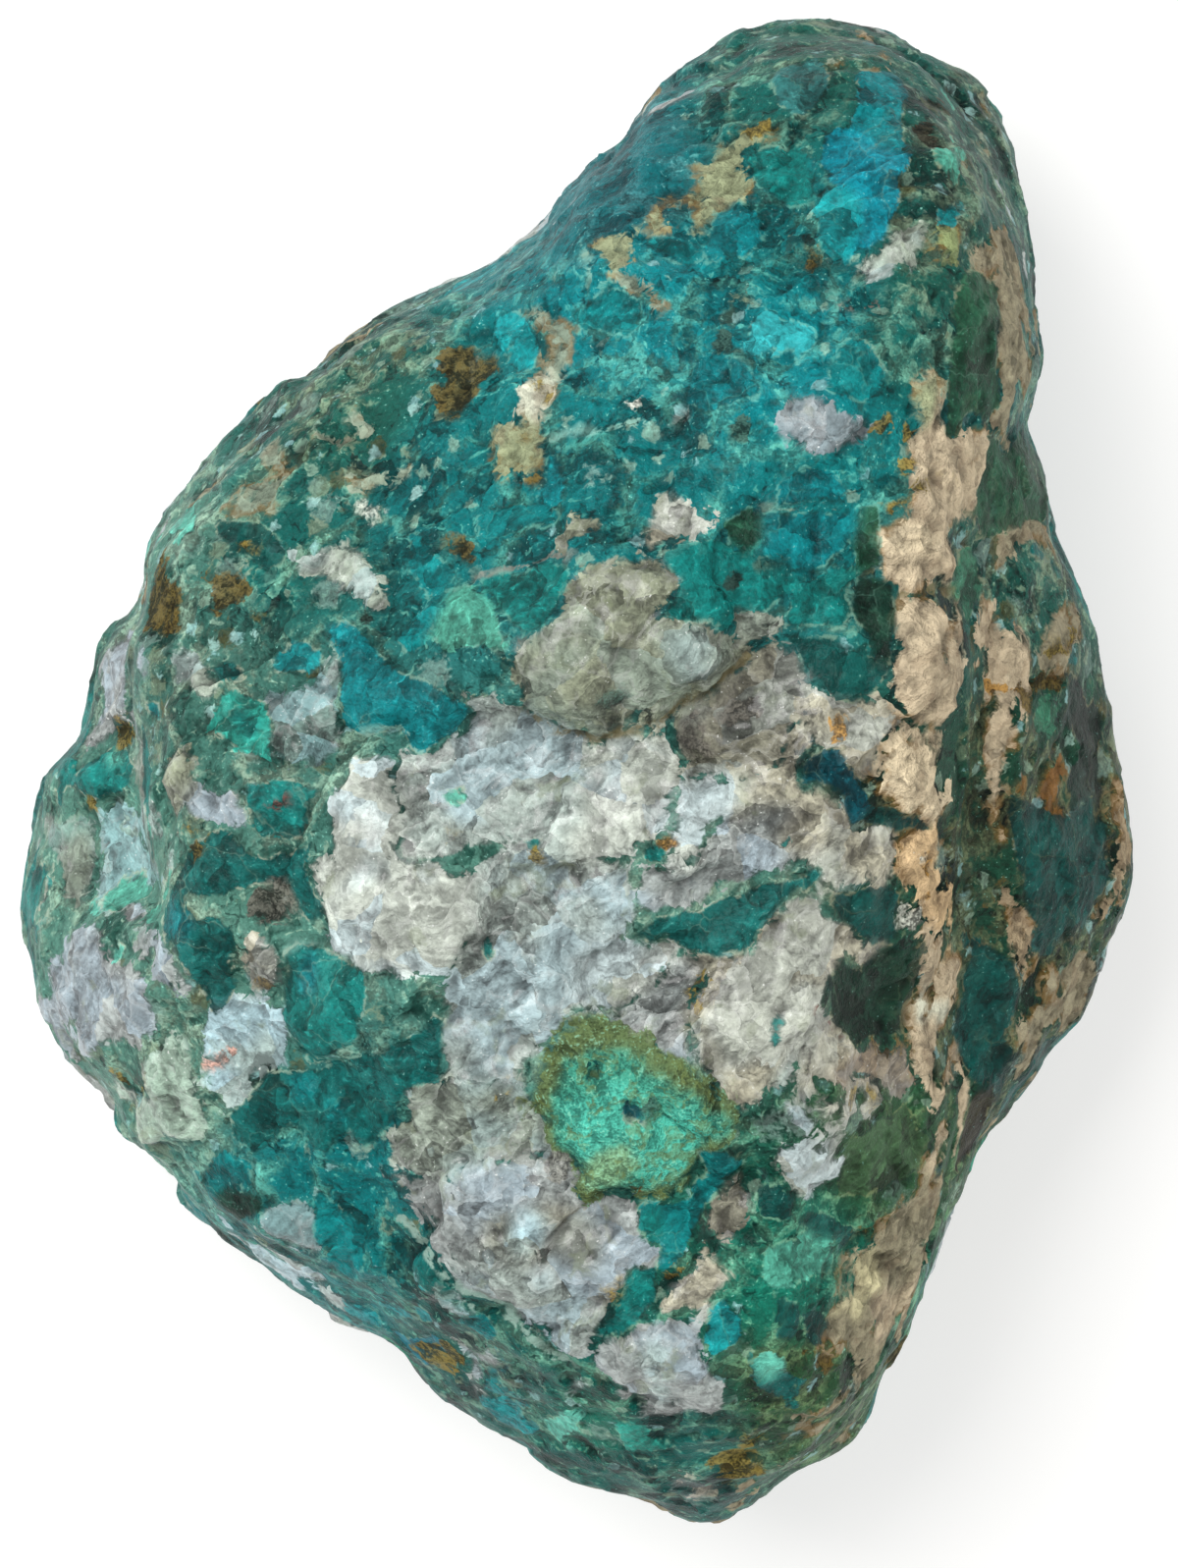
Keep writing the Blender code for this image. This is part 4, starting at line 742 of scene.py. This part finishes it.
# Heights and sizes are in millimetres, from the broad faces of the whole break to each mineral's grain.
relief = np.zeros(len(places))
for i, place in enumerate(places):
    spot = Vector(place)
    rough = 0.07 * noise.fractal(spot / 1.1, 0.9, 2.1, 4) + 0.30 * broken_faces(spot - ONES, 6.5)
    if quartz_share[i] > 0:
        faces = 0.30 * broken_faces(spot, 3.4) + 0.17 * broken_faces(spot, 1.6)
        rough += quartz_share[i] * (faces + 0.28 * flaky_steps(spot, 4.2, 3))
    if plain_share[i] > 0:
        rough += plain_share[i] * (0.22 * broken_faces(spot, 3.4) + 0.13 * broken_faces(spot, 1.5))
        rough += plain_share[i] * 0.15 * flaky_steps(spot + ONES, 3.5, 4)
    if clast_share[i] > 0:
        rough += clast_share[i] * (0.20 * broken_faces(spot, 3.2) + 0.08 * broken_faces(spot, 1.4))
    if tan_share[i] > 0:
        rough += tan_share[i] * (0.26 * noise.noise(spot / 1.2) + 0.20 * broken_faces(spot, 1.2))
    if crust_share[i] > 0:
        rough += crust_share[i] * (0.12 * noise.noise(spot / 0.5) + 0.12 * flaky_steps(spot, 1.5, 3))
    relief[i] = rough

# Handling has worn the relief down where the stone lies, up to a couple of millimetres, and on its sides.
LEAST_LEFT, SIDE_WEAR = 0.25, 0.45
DEEP_HOLLOW = 0.25
LEAST_HEIGHT = 0.02
left = np.clip((places[:, 2] - 0.3) / 2.0, LEAST_LEFT, 1.0) * (1.0 - SIDE_WEAR * steep)
lifted = (relief + raised) * left
# How far each place lies below the mean of its neighbours; the finish uses it to paint shade into the hollows
# and highlight onto the ridges.
hollow = np.clip((eased(lifted, 12) - lifted) / DEEP_HOLLOW, -1.0, 1.0)
moved = places + facing * lifted[:, None]
moved[:, 2] = np.maximum(moved[:, 2], np.minimum(places[:, 2], LEAST_HEIGHT))
for vert, place in zip(skin.verts, moved * MM):
    vert.co = place
bmesh.ops.smooth_vert(
    skin, verts=skin.verts, factor=0.2, use_axis_x=True, use_axis_y=True, use_axis_z=True
)
skin.to_mesh(even_mesh)
skin.free()
even_mesh.shade_smooth()

for name, values in (
    ("quartz_depth", quartz.depth), ("tan_depth", tan.depth), ("crust_depth", crust.depth),
    ("clast_depth", clasts.depth), ("rust_depth", rust.depth), ("seam_depth", seam_depth),
    ("hollow", hollow), ("grit", grit), ("glassy", quartz_share),
    ("dull", np.maximum(np.maximum(tan_share, crust_share * (1.0 - clast_share)), share(rust.depth))),
):
    store = even_mesh.attributes.new(name, "FLOAT", "POINT")
    store.data.foreach_set("value", np.ascontiguousarray(values, dtype=np.float32))
for name, tints in (
    ("ground_main", main_tones), ("ground_dark", dark_tones), ("ground_pale", pale_tones),
    ("quartz_tint", quartz.tint), ("tan_tint", tan.tint), ("crust_tint", crust.tint),
    ("clast_tint", clasts.tint), ("rust_tint", rust.tint), ("seam_tint", seam_tint),
):
    store = even_mesh.attributes.new(name, "FLOAT_COLOR", "POINT")
    store.data.foreach_set("color", np.ascontiguousarray(tints, dtype=np.float32).ravel())


# ---- The finish of the stone ----
# One material reads the patches and gives each mineral its own colour grain, gloss and fine bump. Its
# patterns are solid, in millimetres through the stone, so a face shows them cut through.
class Wire:
    """A number in the material: sums, differences and products of wires add Math nodes."""

    def __init__(self, socket):
        self.socket = socket

    def math(self, operation, first, second):
        return bench.node("ShaderNodeMath", {"operation": operation}, {0: first, 1: second})

    def __add__(self, other):
        return self.math("ADD", self, other)

    def __sub__(self, other):
        return self.math("SUBTRACT", self, other)

    def __rsub__(self, other):
        return self.math("SUBTRACT", other, self)

    def __mul__(self, other):
        return self.math("MULTIPLY", self, other)

    __radd__ = __add__
    __rmul__ = __mul__


class Bench:
    """Builds the material's nodes, one way for all of them."""

    def __init__(self, material):
        material.use_nodes = True
        self.tree = material.node_tree
        self.tree.nodes.clear()

    def node(self, kind, settings, values, output=0):
        """A node with its settings, then its sockets' values or wires; gives one output as a wire."""
        made = self.tree.nodes.new(kind)
        for name, setting in settings.items():
            setattr(made, name, setting)
        for name, value in values.items():
            if isinstance(value, Wire):
                self.tree.links.new(value.socket, made.inputs[name])
            else:
                made.inputs[name].default_value = value
        return Wire(made.outputs[output]) if made.outputs else None


stone_finish = bpy.data.materials.new("chrysocolla_and_quartz")
bench = Bench(stone_finish)


def attribute(name, output="Fac"):
    return bench.node("ShaderNodeAttribute", {"attribute_name": name}, {}, output)


def steps(value, low, high):
    """0 below low and 1 above high, with a smooth way between."""
    return bench.node("ShaderNodeMapRange", {"interpolation_type": "SMOOTHSTEP"}, {
        "Value": value, "From Min": low, "From Max": high})


def mixed(share_of_second, first, second, blend="MIX"):
    return bench.node("ShaderNodeMix", {"data_type": "RGBA", "blend_type": blend}, {
        0: share_of_second, 6: first, 7: second}, 2)


def vector(operation, first, second):
    return bench.node("ShaderNodeVectorMath", {"operation": operation}, {0: first, 1: second})


def scaled(first, factor):
    """A colour or a vector times a number."""
    return bench.node("ShaderNodeVectorMath", {"operation": "SCALE"}, {0: first, "Scale": factor})


def clouds(at, size, detail=2.0, contrast=0.9, output="Fac"):
    """Noise whose blots are about size millimetres across, from 0 to 1 about 0.5, at some contrast."""
    blots = bench.node("ShaderNodeTexNoise", {}, {
        "Vector": at, "Scale": 1.0 / size, "Detail": detail, "Roughness": 0.65}, output)
    return blots if output == "Color" else (blots - 0.5) * contrast + 0.5


def cells(at, size):
    """Angular cells about size millimetres across: a colour for each, its middle, and how far off it is."""
    colour = bench.node("ShaderNodeTexVoronoi", {}, {"Vector": scaled(at, 1.0 / size), "Scale": 1.0}, "Color")
    outputs = colour.socket.node.outputs
    return colour, Wire(outputs["Position"]), Wire(outputs["Distance"])


def cell_edges(at, size):
    return bench.node("ShaderNodeTexVoronoi", {"feature": "DISTANCE_TO_EDGE"}, {
        "Vector": scaled(at, 1.0 / size), "Scale": 1.0})


def channel(colour, name):
    return bench.node("ShaderNodeSeparateColor", {}, {"Color": colour}, name)


def dot(first, second):
    return bench.node("ShaderNodeVectorMath", {"operation": "DOT_PRODUCT"}, {0: first, 1: second}, "Value")


def centred(colour):
    """A random colour as a vector about zero."""
    return vector("SUBTRACT", colour, (0.5, 0.5, 0.5))


def tilted_faces(at, size, parts):
    """Height over cells that are each a plane with its own tilt."""
    colour, middle, _ = parts
    return dot(vector("SUBTRACT", scaled(at, 1.0 / size), middle), centred(colour))


def drawn_out(at, colour, stretch):
    """Places drawn out along a direction of each cell's own, so that a grain in it runs one way."""
    axis = bench.node("ShaderNodeVectorMath", {"operation": "NORMALIZE"}, {0: centred(colour)})
    return vector("SUBTRACT", at, scaled(axis, dot(at, axis) * stretch))


place_mm = scaled(bench.node("ShaderNodeTexCoord", {}, {}, "Object"), 1.0 / MM)
wander = centred(clouds(place_mm, 2.2, 3.0, output="Color"))
bent = vector("ADD", place_mm, scaled(wander, 1.45))
swirl = vector("ADD", place_mm, scaled(wander, 4.8))
big_cells, mid_cells, small_cells = cells(bent, 3.2), cells(bent, 1.5), cells(bent, 0.65)
big_tone = channel(big_cells[0], "Red")
mid_tone = channel(mid_cells[0], "Green")
small_tone = channel(small_cells[0], "Green")
big_faces, mid_faces, small_faces = (
    tilted_faces(bent, size, parts)
    for size, parts in ((3.2, big_cells), (1.5, mid_cells), (0.65, small_cells))
)
broad = clouds(place_mm, 4.5, 1.0)
middling = clouds(place_mm, 1.4, 3.0, 0.97)
fine = clouds(bent, 0.36, 2.0, 0.92)
dust = clouds(place_mm, 0.12, 0.0, 0.7)
fibres = clouds(drawn_out(bent, big_cells[0], 0.80), 0.50)
hollow_share = attribute("hollow")
ragged = (mid_tone - 0.5) * 0.55 + (small_tone - 0.5) * 0.45 + (middling - 0.5) * 1.1 + (fine - 0.5) * 0.8
half_blur = 0.05 + steps(clouds(place_mm, 2.6, 1.0), 0.45, 0.62) * 0.22


def where(name, fray=1.0, softness=1.0):
    """1 inside a mineral's patches, with borders as ragged and as soft as they are told."""
    return steps(attribute(name) + ragged * fray, half_blur * -softness, half_blur * softness)


def border(name, fray, width):
    """1 along the borders of a mineral's patches."""
    away = bench.node("ShaderNodeMath", {"operation": "ABSOLUTE"}, {0: attribute(name) + ragged * fray})
    return 1.0 - steps(away, 0.0, width)


# The groundmass: fragments in the zone's tones, streaked inside, with pale cement between some of them.
COPPER_STAIN = (0.74, 1.0, 0.99)
mottle = (middling - 0.5) * 1.5 + (fine - 0.5) * 1.0
streaks = (fibres - 0.5) * 2.4
tone = mottle + streaks + (big_tone - 0.5) * 0.9 + (mid_tone - 0.5) * 0.8 + (small_tone - 0.5) * 0.4
# Painted shading: each broken face runs lighter to darker across its tilt.
tone = tone + big_faces * 1.2 + mid_faces * 0.6
gap = cell_edges(bent, 1.5) + (fine - 0.5) * 0.22
big_gap = cell_edges(bent, 3.2) + (middling - 0.5) * 0.55 + (fine - 0.5) * 0.45
cement = (1.0 - steps(big_gap, 0.02, 0.20)) * steps(broad + (middling - 0.5) * 1.2, 0.38, 0.56)
cracks = (1.0 - steps(gap, 0.0, 0.05)) * steps(middling, 0.46, 0.40)
wisps = steps(fibres + (fine - 0.5) * 0.3, 0.60, 0.72)
# Small pale specks: partly the stone's own speckle, partly painted glints of light.
specks_and_glints = steps(dust + (fine - 0.5) * 0.5, 0.72, 0.78)

ground_main, ground_pale = attribute("ground_main", "Color"), attribute("ground_pale", "Color")
ground = mixed(steps(tone, -1.0, 0.2), attribute("ground_dark", "Color"), ground_main)
ground = mixed(steps(tone, 0.4, 1.5), ground, scaled(ground_main, 1.9))
ground = mixed(steps(tone + (broad - 0.5) * 2.4, 0.6, 1.5) * 0.6, ground, ground_pale)
crumbs = steps(fine + small_tone * 0.5 + (dust - 0.5) * 0.5, 0.55, 1.0)
cement_colour = mixed(crumbs, scaled(ground_pale, 0.30), ground_pale)
ground = mixed(cement * (0.15 + attribute("grit") * 0.65), ground, cement_colour)
ground = mixed(cracks * 0.7, ground, scaled(attribute("ground_dark", "Color"), 0.5))
ground = mixed(wisps * 0.45, ground, ground_pale)
ground = mixed(specks_and_glints * 0.45, ground, paint("#a5cfc0"))
ground = mixed(steps(tone * -1.0, 1.1, 1.8) * 0.85, ground, paint("#04100e"))


def chips(size, cell_channel, least):
    """1 on some of the cells of a broken pattern: more of them where the zone holds more grit."""
    colour, _, away = cells(bent, size)
    near = 0.45 - away + (fine - 0.5) * 0.9
    chosen = steps(channel(colour, cell_channel) + attribute("grit") * 0.25, least, least + 0.04)
    return chosen * steps(near, 0.0, 0.2)


# Grit in the groundmass: chips of grey quartz, tan and rust, more in some zones than in others.
chip_tone = 0.25 + fine + small_tone * 0.4
for size, cell_channel, least, strength, tint in (
    (2.4, "Blue", 1.02, 0.50, "#8c958c"), (1.0, "Blue", 1.01, 0.50, "#9fa894"),
    (1.6, "Red", 1.07, 0.55, "#87836a"), (1.6, "Green", 1.10, 0.65, "#55451f"),
    (1.0, "Red", 1.06, 0.50, "#a9c3c4"),
):
    ground = mixed(chips(size, cell_channel, least) * strength, ground, scaled(paint(tint)[:3], chip_tone))
grain = 0.22 + fine * 0.92 + dust * 0.66
ground = vector("MULTIPLY", scaled(ground, grain), COPPER_STAIN)

# Chrysocolla fragments: one colour each, clouded and streaked darker, with fine pale cracks.
clast_tint = attribute("clast_tint", "Color")
# The tone of each fragment includes painted shading across its tilted faces.
clast_body = steps(mottle * 1.2 + streaks + (mid_tone - 0.5) * 0.8 + big_faces + mid_faces * 0.6, -1.0, 1.0)
clast_colour = mixed(clast_body, scaled(clast_tint, 0.34), scaled(clast_tint, 1.50))
clast_colour = mixed(steps(mottle + streaks * 0.6, 0.55, 1.2) * 0.45, clast_colour, ground_pale)
clast_lines = (1.0 - steps(cell_edges(bent, 3.2), 0.0, 0.02)) * steps(broad, 0.46, 0.56)
clast_colour = mixed(clast_lines * 0.14, clast_colour, ground_pale)
clast_colour = mixed(wisps * 0.45, clast_colour, scaled(clast_tint, 2.3))
clast_colour = vector("MULTIPLY", scaled(clast_colour, 0.35 + grain * 0.65), COPPER_STAIN)
# Pale specks on the fragments, partly their own speckle and partly painted glints.
clast_colour = mixed(specks_and_glints * 0.35, clast_colour, paint("#8cc4b8"))

# Quartz: flakes of unlike lightness, streaked, clear grey inside and frosted along some of their edges.
quartz_tone = (big_tone - 0.5) * 0.5 + (mid_tone - 0.5) * 0.45 + (small_tone - 0.5) * 0.25
# Painted shading: each flake face runs lighter to darker across its tilt, like a facet catching the light.
quartz_tone = quartz_tone + (broad - 0.5) * 1.3 + big_faces * 0.8 + mid_faces * 0.8 + small_faces * 0.35
quartz_tone = quartz_tone + streaks * 1.0 + (middling - 0.5) * 0.7 + (fine - 0.5) * 1.3 + (dust - 0.5) * 0.5
warm_or_cool = mixed(steps(big_tone + (broad - 0.5) * 1.5, 0.35, 0.65), paint("#f4efe6"), paint("#e2e8ed"))
quartz_tint = mixed(1.0, attribute("quartz_tint", "Color"), warm_or_cool, "MULTIPLY")
quartz_colour = mixed(steps(quartz_tone, -1.2, 1.15), scaled(quartz_tint, 0.22), scaled(quartz_tint, 1.85))
milkiness = steps(channel(quartz_tint, "Green"), 0.38, 0.60) * 0.45
quartz_colour = mixed(milkiness, quartz_colour, scaled(quartz_tint, 1.12))
clear = steps(clouds(bent, 2.8), 0.53, 0.66)
quartz_colour = mixed(clear * 0.5, quartz_colour, scaled(quartz_tint, 0.42))
frost = (1.0 - steps(gap, 0.0, 0.16)) * steps(middling + (mid_tone - 0.5) * 0.4, 0.50, 0.62)
# Frost along some flake edges, and painted glints of light where the specks fall.
quartz_colour = mixed(frost * 0.14 + specks_and_glints * 0.6, quartz_colour, paint("#e8ebe8"))
stain = steps(clouds(swirl, 2.2, 1.0), 0.60, 0.72) * 0.35
quartz_colour = mixed(stain, quartz_colour, paint("#7f8a6a"))

# The tan vein: sandy, with paler and browner grains.
# The tan's tone includes painted shading across its tilted faces.
tan_tone = mottle + streaks * 0.7 + mid_faces * 0.8 + (small_tone - 0.5) * 0.6 + (dust - 0.5) * 0.4
tan_tone = steps(tan_tone, -0.95, 0.75)
tan_tint = attribute("tan_tint", "Color")
tan_colour = mixed(tan_tone, scaled(tan_tint, 0.44), scaled(tan_tint, 1.48))
tan_colour = mixed(steps(clouds(bent, 1.6), 0.52, 0.66) * 0.35, tan_colour, paint("#85705a"))
tan_stain = border("tan_depth", 0.9, 0.45) * steps(broad + (middling - 0.5) * 1.2, 0.48, 0.64)

# The crust: mint grains in a darker green felt, with ochre crumbs.
felt = steps((fine - 0.5) * 2.0 + mottle * 0.8 + (small_tone - 0.5) * 0.8 + (dust - 0.5) * 1.6, -0.75, 0.65)
crust_tint = attribute("crust_tint", "Color")
crust_colour = mixed(felt, scaled(crust_tint, 0.40), scaled(crust_tint, 1.20))
crust_colour = mixed(steps(clouds(swirl, 1.3), 0.50, 0.62) * 0.5, crust_colour, paint("#6d7d47"))
crust_colour = mixed(steps(fine + (dust - 0.5) * 0.8, 0.60, 0.75) * 0.45, crust_colour, paint("#8fceb0"))

# Rust: dark earth with ochre crumbs.
rust_tone = steps(fine + (dust - 0.5) * 0.6 + (middling - 0.5) * 0.8 + (small_tone - 0.5) * 0.3, 0.36, 0.80)
rust_tint = attribute("rust_tint", "Color")
rust_colour = mixed(rust_tone, scaled(rust_tint, 0.22), scaled(rust_tint, 1.35))

in_quartz = where("quartz_depth", 0.8)
in_tan = where("tan_depth", 0.9, 1.4)
in_crust = where("crust_depth", 0.9, 1.4)
in_clast = where("clast_depth", 0.40, 0.7)
in_rust = where("rust_depth", 0.8, 1.6)
in_seam = where("seam_depth", 0.25) * steps(middling + (fine - 0.5) * 0.6, 0.36, 0.50)

colour = mixed(in_quartz, ground, quartz_colour)
# Dark lines along some quartz borders: partly grain boundaries, partly painted shadow where the quartz steps.
quartz_rim = border("quartz_depth", 0.8, 0.16) * steps(middling, 0.52, 0.46)
colour = mixed(quartz_rim * 0.5, colour, paint("#173028"))
colour = mixed(in_tan * 0.95, colour, tan_colour)
colour = mixed(tan_stain * 0.55, colour, paint("#7d5a22"))
colour = mixed(in_crust, colour, crust_colour)
colour = mixed(in_clast * 0.93, colour, clast_colour)
clast_rim = border("clast_depth", 0.40, 0.15)
colour = mixed(clast_rim * steps(middling, 0.50, 0.44) * 0.50, colour, paint("#11302b"))
colour = mixed(clast_rim * steps(middling, 0.50, 0.58) * 0.45, colour, ground_pale)
colour = mixed(in_rust * 0.9, colour, rust_colour)
colour = mixed(in_seam * 0.8, colour, attribute("seam_tint", "Color"))
# Painted shade darkens the hollows of the relief and a painted highlight lightens its ridges.
shade = steps(hollow_share, 0.0, 0.9) * 0.50
light = steps(0.0 - hollow_share, 0.1, 1.0) * 0.25
colour = scaled(colour, 1.0 - shade + light)

glassy = attribute("glassy")
dull = attribute("dull")
roughness = 0.42 + fine * 0.10 + dull * 0.35 - glassy * 0.10

FINE_RELIEF = 0.32 * MM
bump = mid_faces * (0.30 + glassy * 0.75) + small_faces * (0.18 + glassy * 0.35)
bump = bump + fine * (0.50 + dull * 0.5) + middling * 0.45 + dust * (0.12 + dull * 0.20)
normal = bench.node("ShaderNodeBump", {}, {"Strength": 0.85, "Distance": FINE_RELIEF, "Height": bump})

surface = bench.node("ShaderNodeBsdfPrincipled", {}, {
    "Base Color": colour, "Roughness": roughness, "Coat Weight": glassy * 0.45, "Coat Roughness": 0.16,
    "Normal": normal, "IOR": 1.5, "Specular IOR Level": 0.12})
bench.node("ShaderNodeOutputMaterial", {}, {"Surface": surface})

even_mesh.materials.clear()
even_mesh.materials.append(stone_finish)
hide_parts(STONE_NODE)
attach(stone, "root")


# ---- The studio ----
# A plain pale floor, a broad soft light high at the upper left, a faint fill from the right, and a long
# lens straight above the stone.
FLOOR_SIZE = 4.0
FLOOR_GLOW = 0.54
AIR_GLOW = 0.55
floor_bm = bmesh.new()
bmesh.ops.create_grid(floor_bm, x_segments=1, y_segments=1, size=FLOOR_SIZE / 2)
floor_mesh = bpy.data.meshes.new("studio_floor")
floor_bm.to_mesh(floor_mesh)
floor_bm.free()
floor = bpy.data.objects.new("studio_floor", floor_mesh)
floor_paint = bpy.data.materials.new("pale_floor")
floor_paint.use_nodes = True
floor_surface = floor_paint.node_tree.nodes["Principled BSDF"]
floor_surface.inputs["Base Color"].default_value = paint("#bcbcbb")
floor_surface.inputs["Roughness"].default_value = 0.9
floor_surface.inputs["Emission Color"].default_value = paint("#ffffff")
floor_surface.inputs["Emission Strength"].default_value = FLOOR_GLOW
floor_mesh.materials.append(floor_paint)
bpy.context.scene.collection.objects.link(floor)


LIGHT_SIZE = 0.50


def softbox(name, place, aim, power, tint):
    """A square light at a place in metres, turned to its aim."""
    light = bpy.data.lights.new(name, "AREA")
    light.shape = "SQUARE"
    light.size = LIGHT_SIZE
    light.energy = power
    light.color = paint(tint)[:3]
    lamp = bpy.data.objects.new(name, light)
    lamp.location = place
    lamp.rotation_euler = (Vector(aim) - Vector(place)).to_track_quat("-Z", "Y").to_euler()
    bpy.context.scene.collection.objects.link(lamp)


STONE_MIDDLE = (0.0, 0.0, 0.02)
softbox("window_light", (-0.33, 0.25, 0.74), STONE_MIDDLE, 6.15, "#fffdfb")
softbox("fill_light", (0.55, -0.30, 0.45), STONE_MIDDLE, 1.2, "#fff8ee")

sky = bpy.data.worlds.new("studio_air")
sky.use_nodes = True
air = sky.node_tree.nodes["Background"]
air.inputs["Color"].default_value = (1.0, 1.0, 1.0, 1.0)
air.inputs["Strength"].default_value = AIR_GLOW
bpy.context.scene.world = sky
bpy.context.scene.view_settings.view_transform = "Standard"

# The frame is 1200 by 1597 pixels, at 20 pixels to a millimetre at the height of the girdle.
FRAME_TALL = 1597
PIXELS_PER_MM = 20.0
SENSOR = 36.0
camera_data = bpy.data.cameras.new("overhead_camera")
camera_data.sensor_width = SENSOR
camera_data.lens = SENSOR * (EYE[2] - GIRDLE) / (FRAME_TALL / PIXELS_PER_MM)
camera_data.clip_start = 0.01
camera = bpy.data.objects.new("overhead_camera", camera_data)
camera.location = [part * MM for part in EYE]
bpy.context.scene.collection.objects.link(camera)
bpy.context.scene.camera = camera
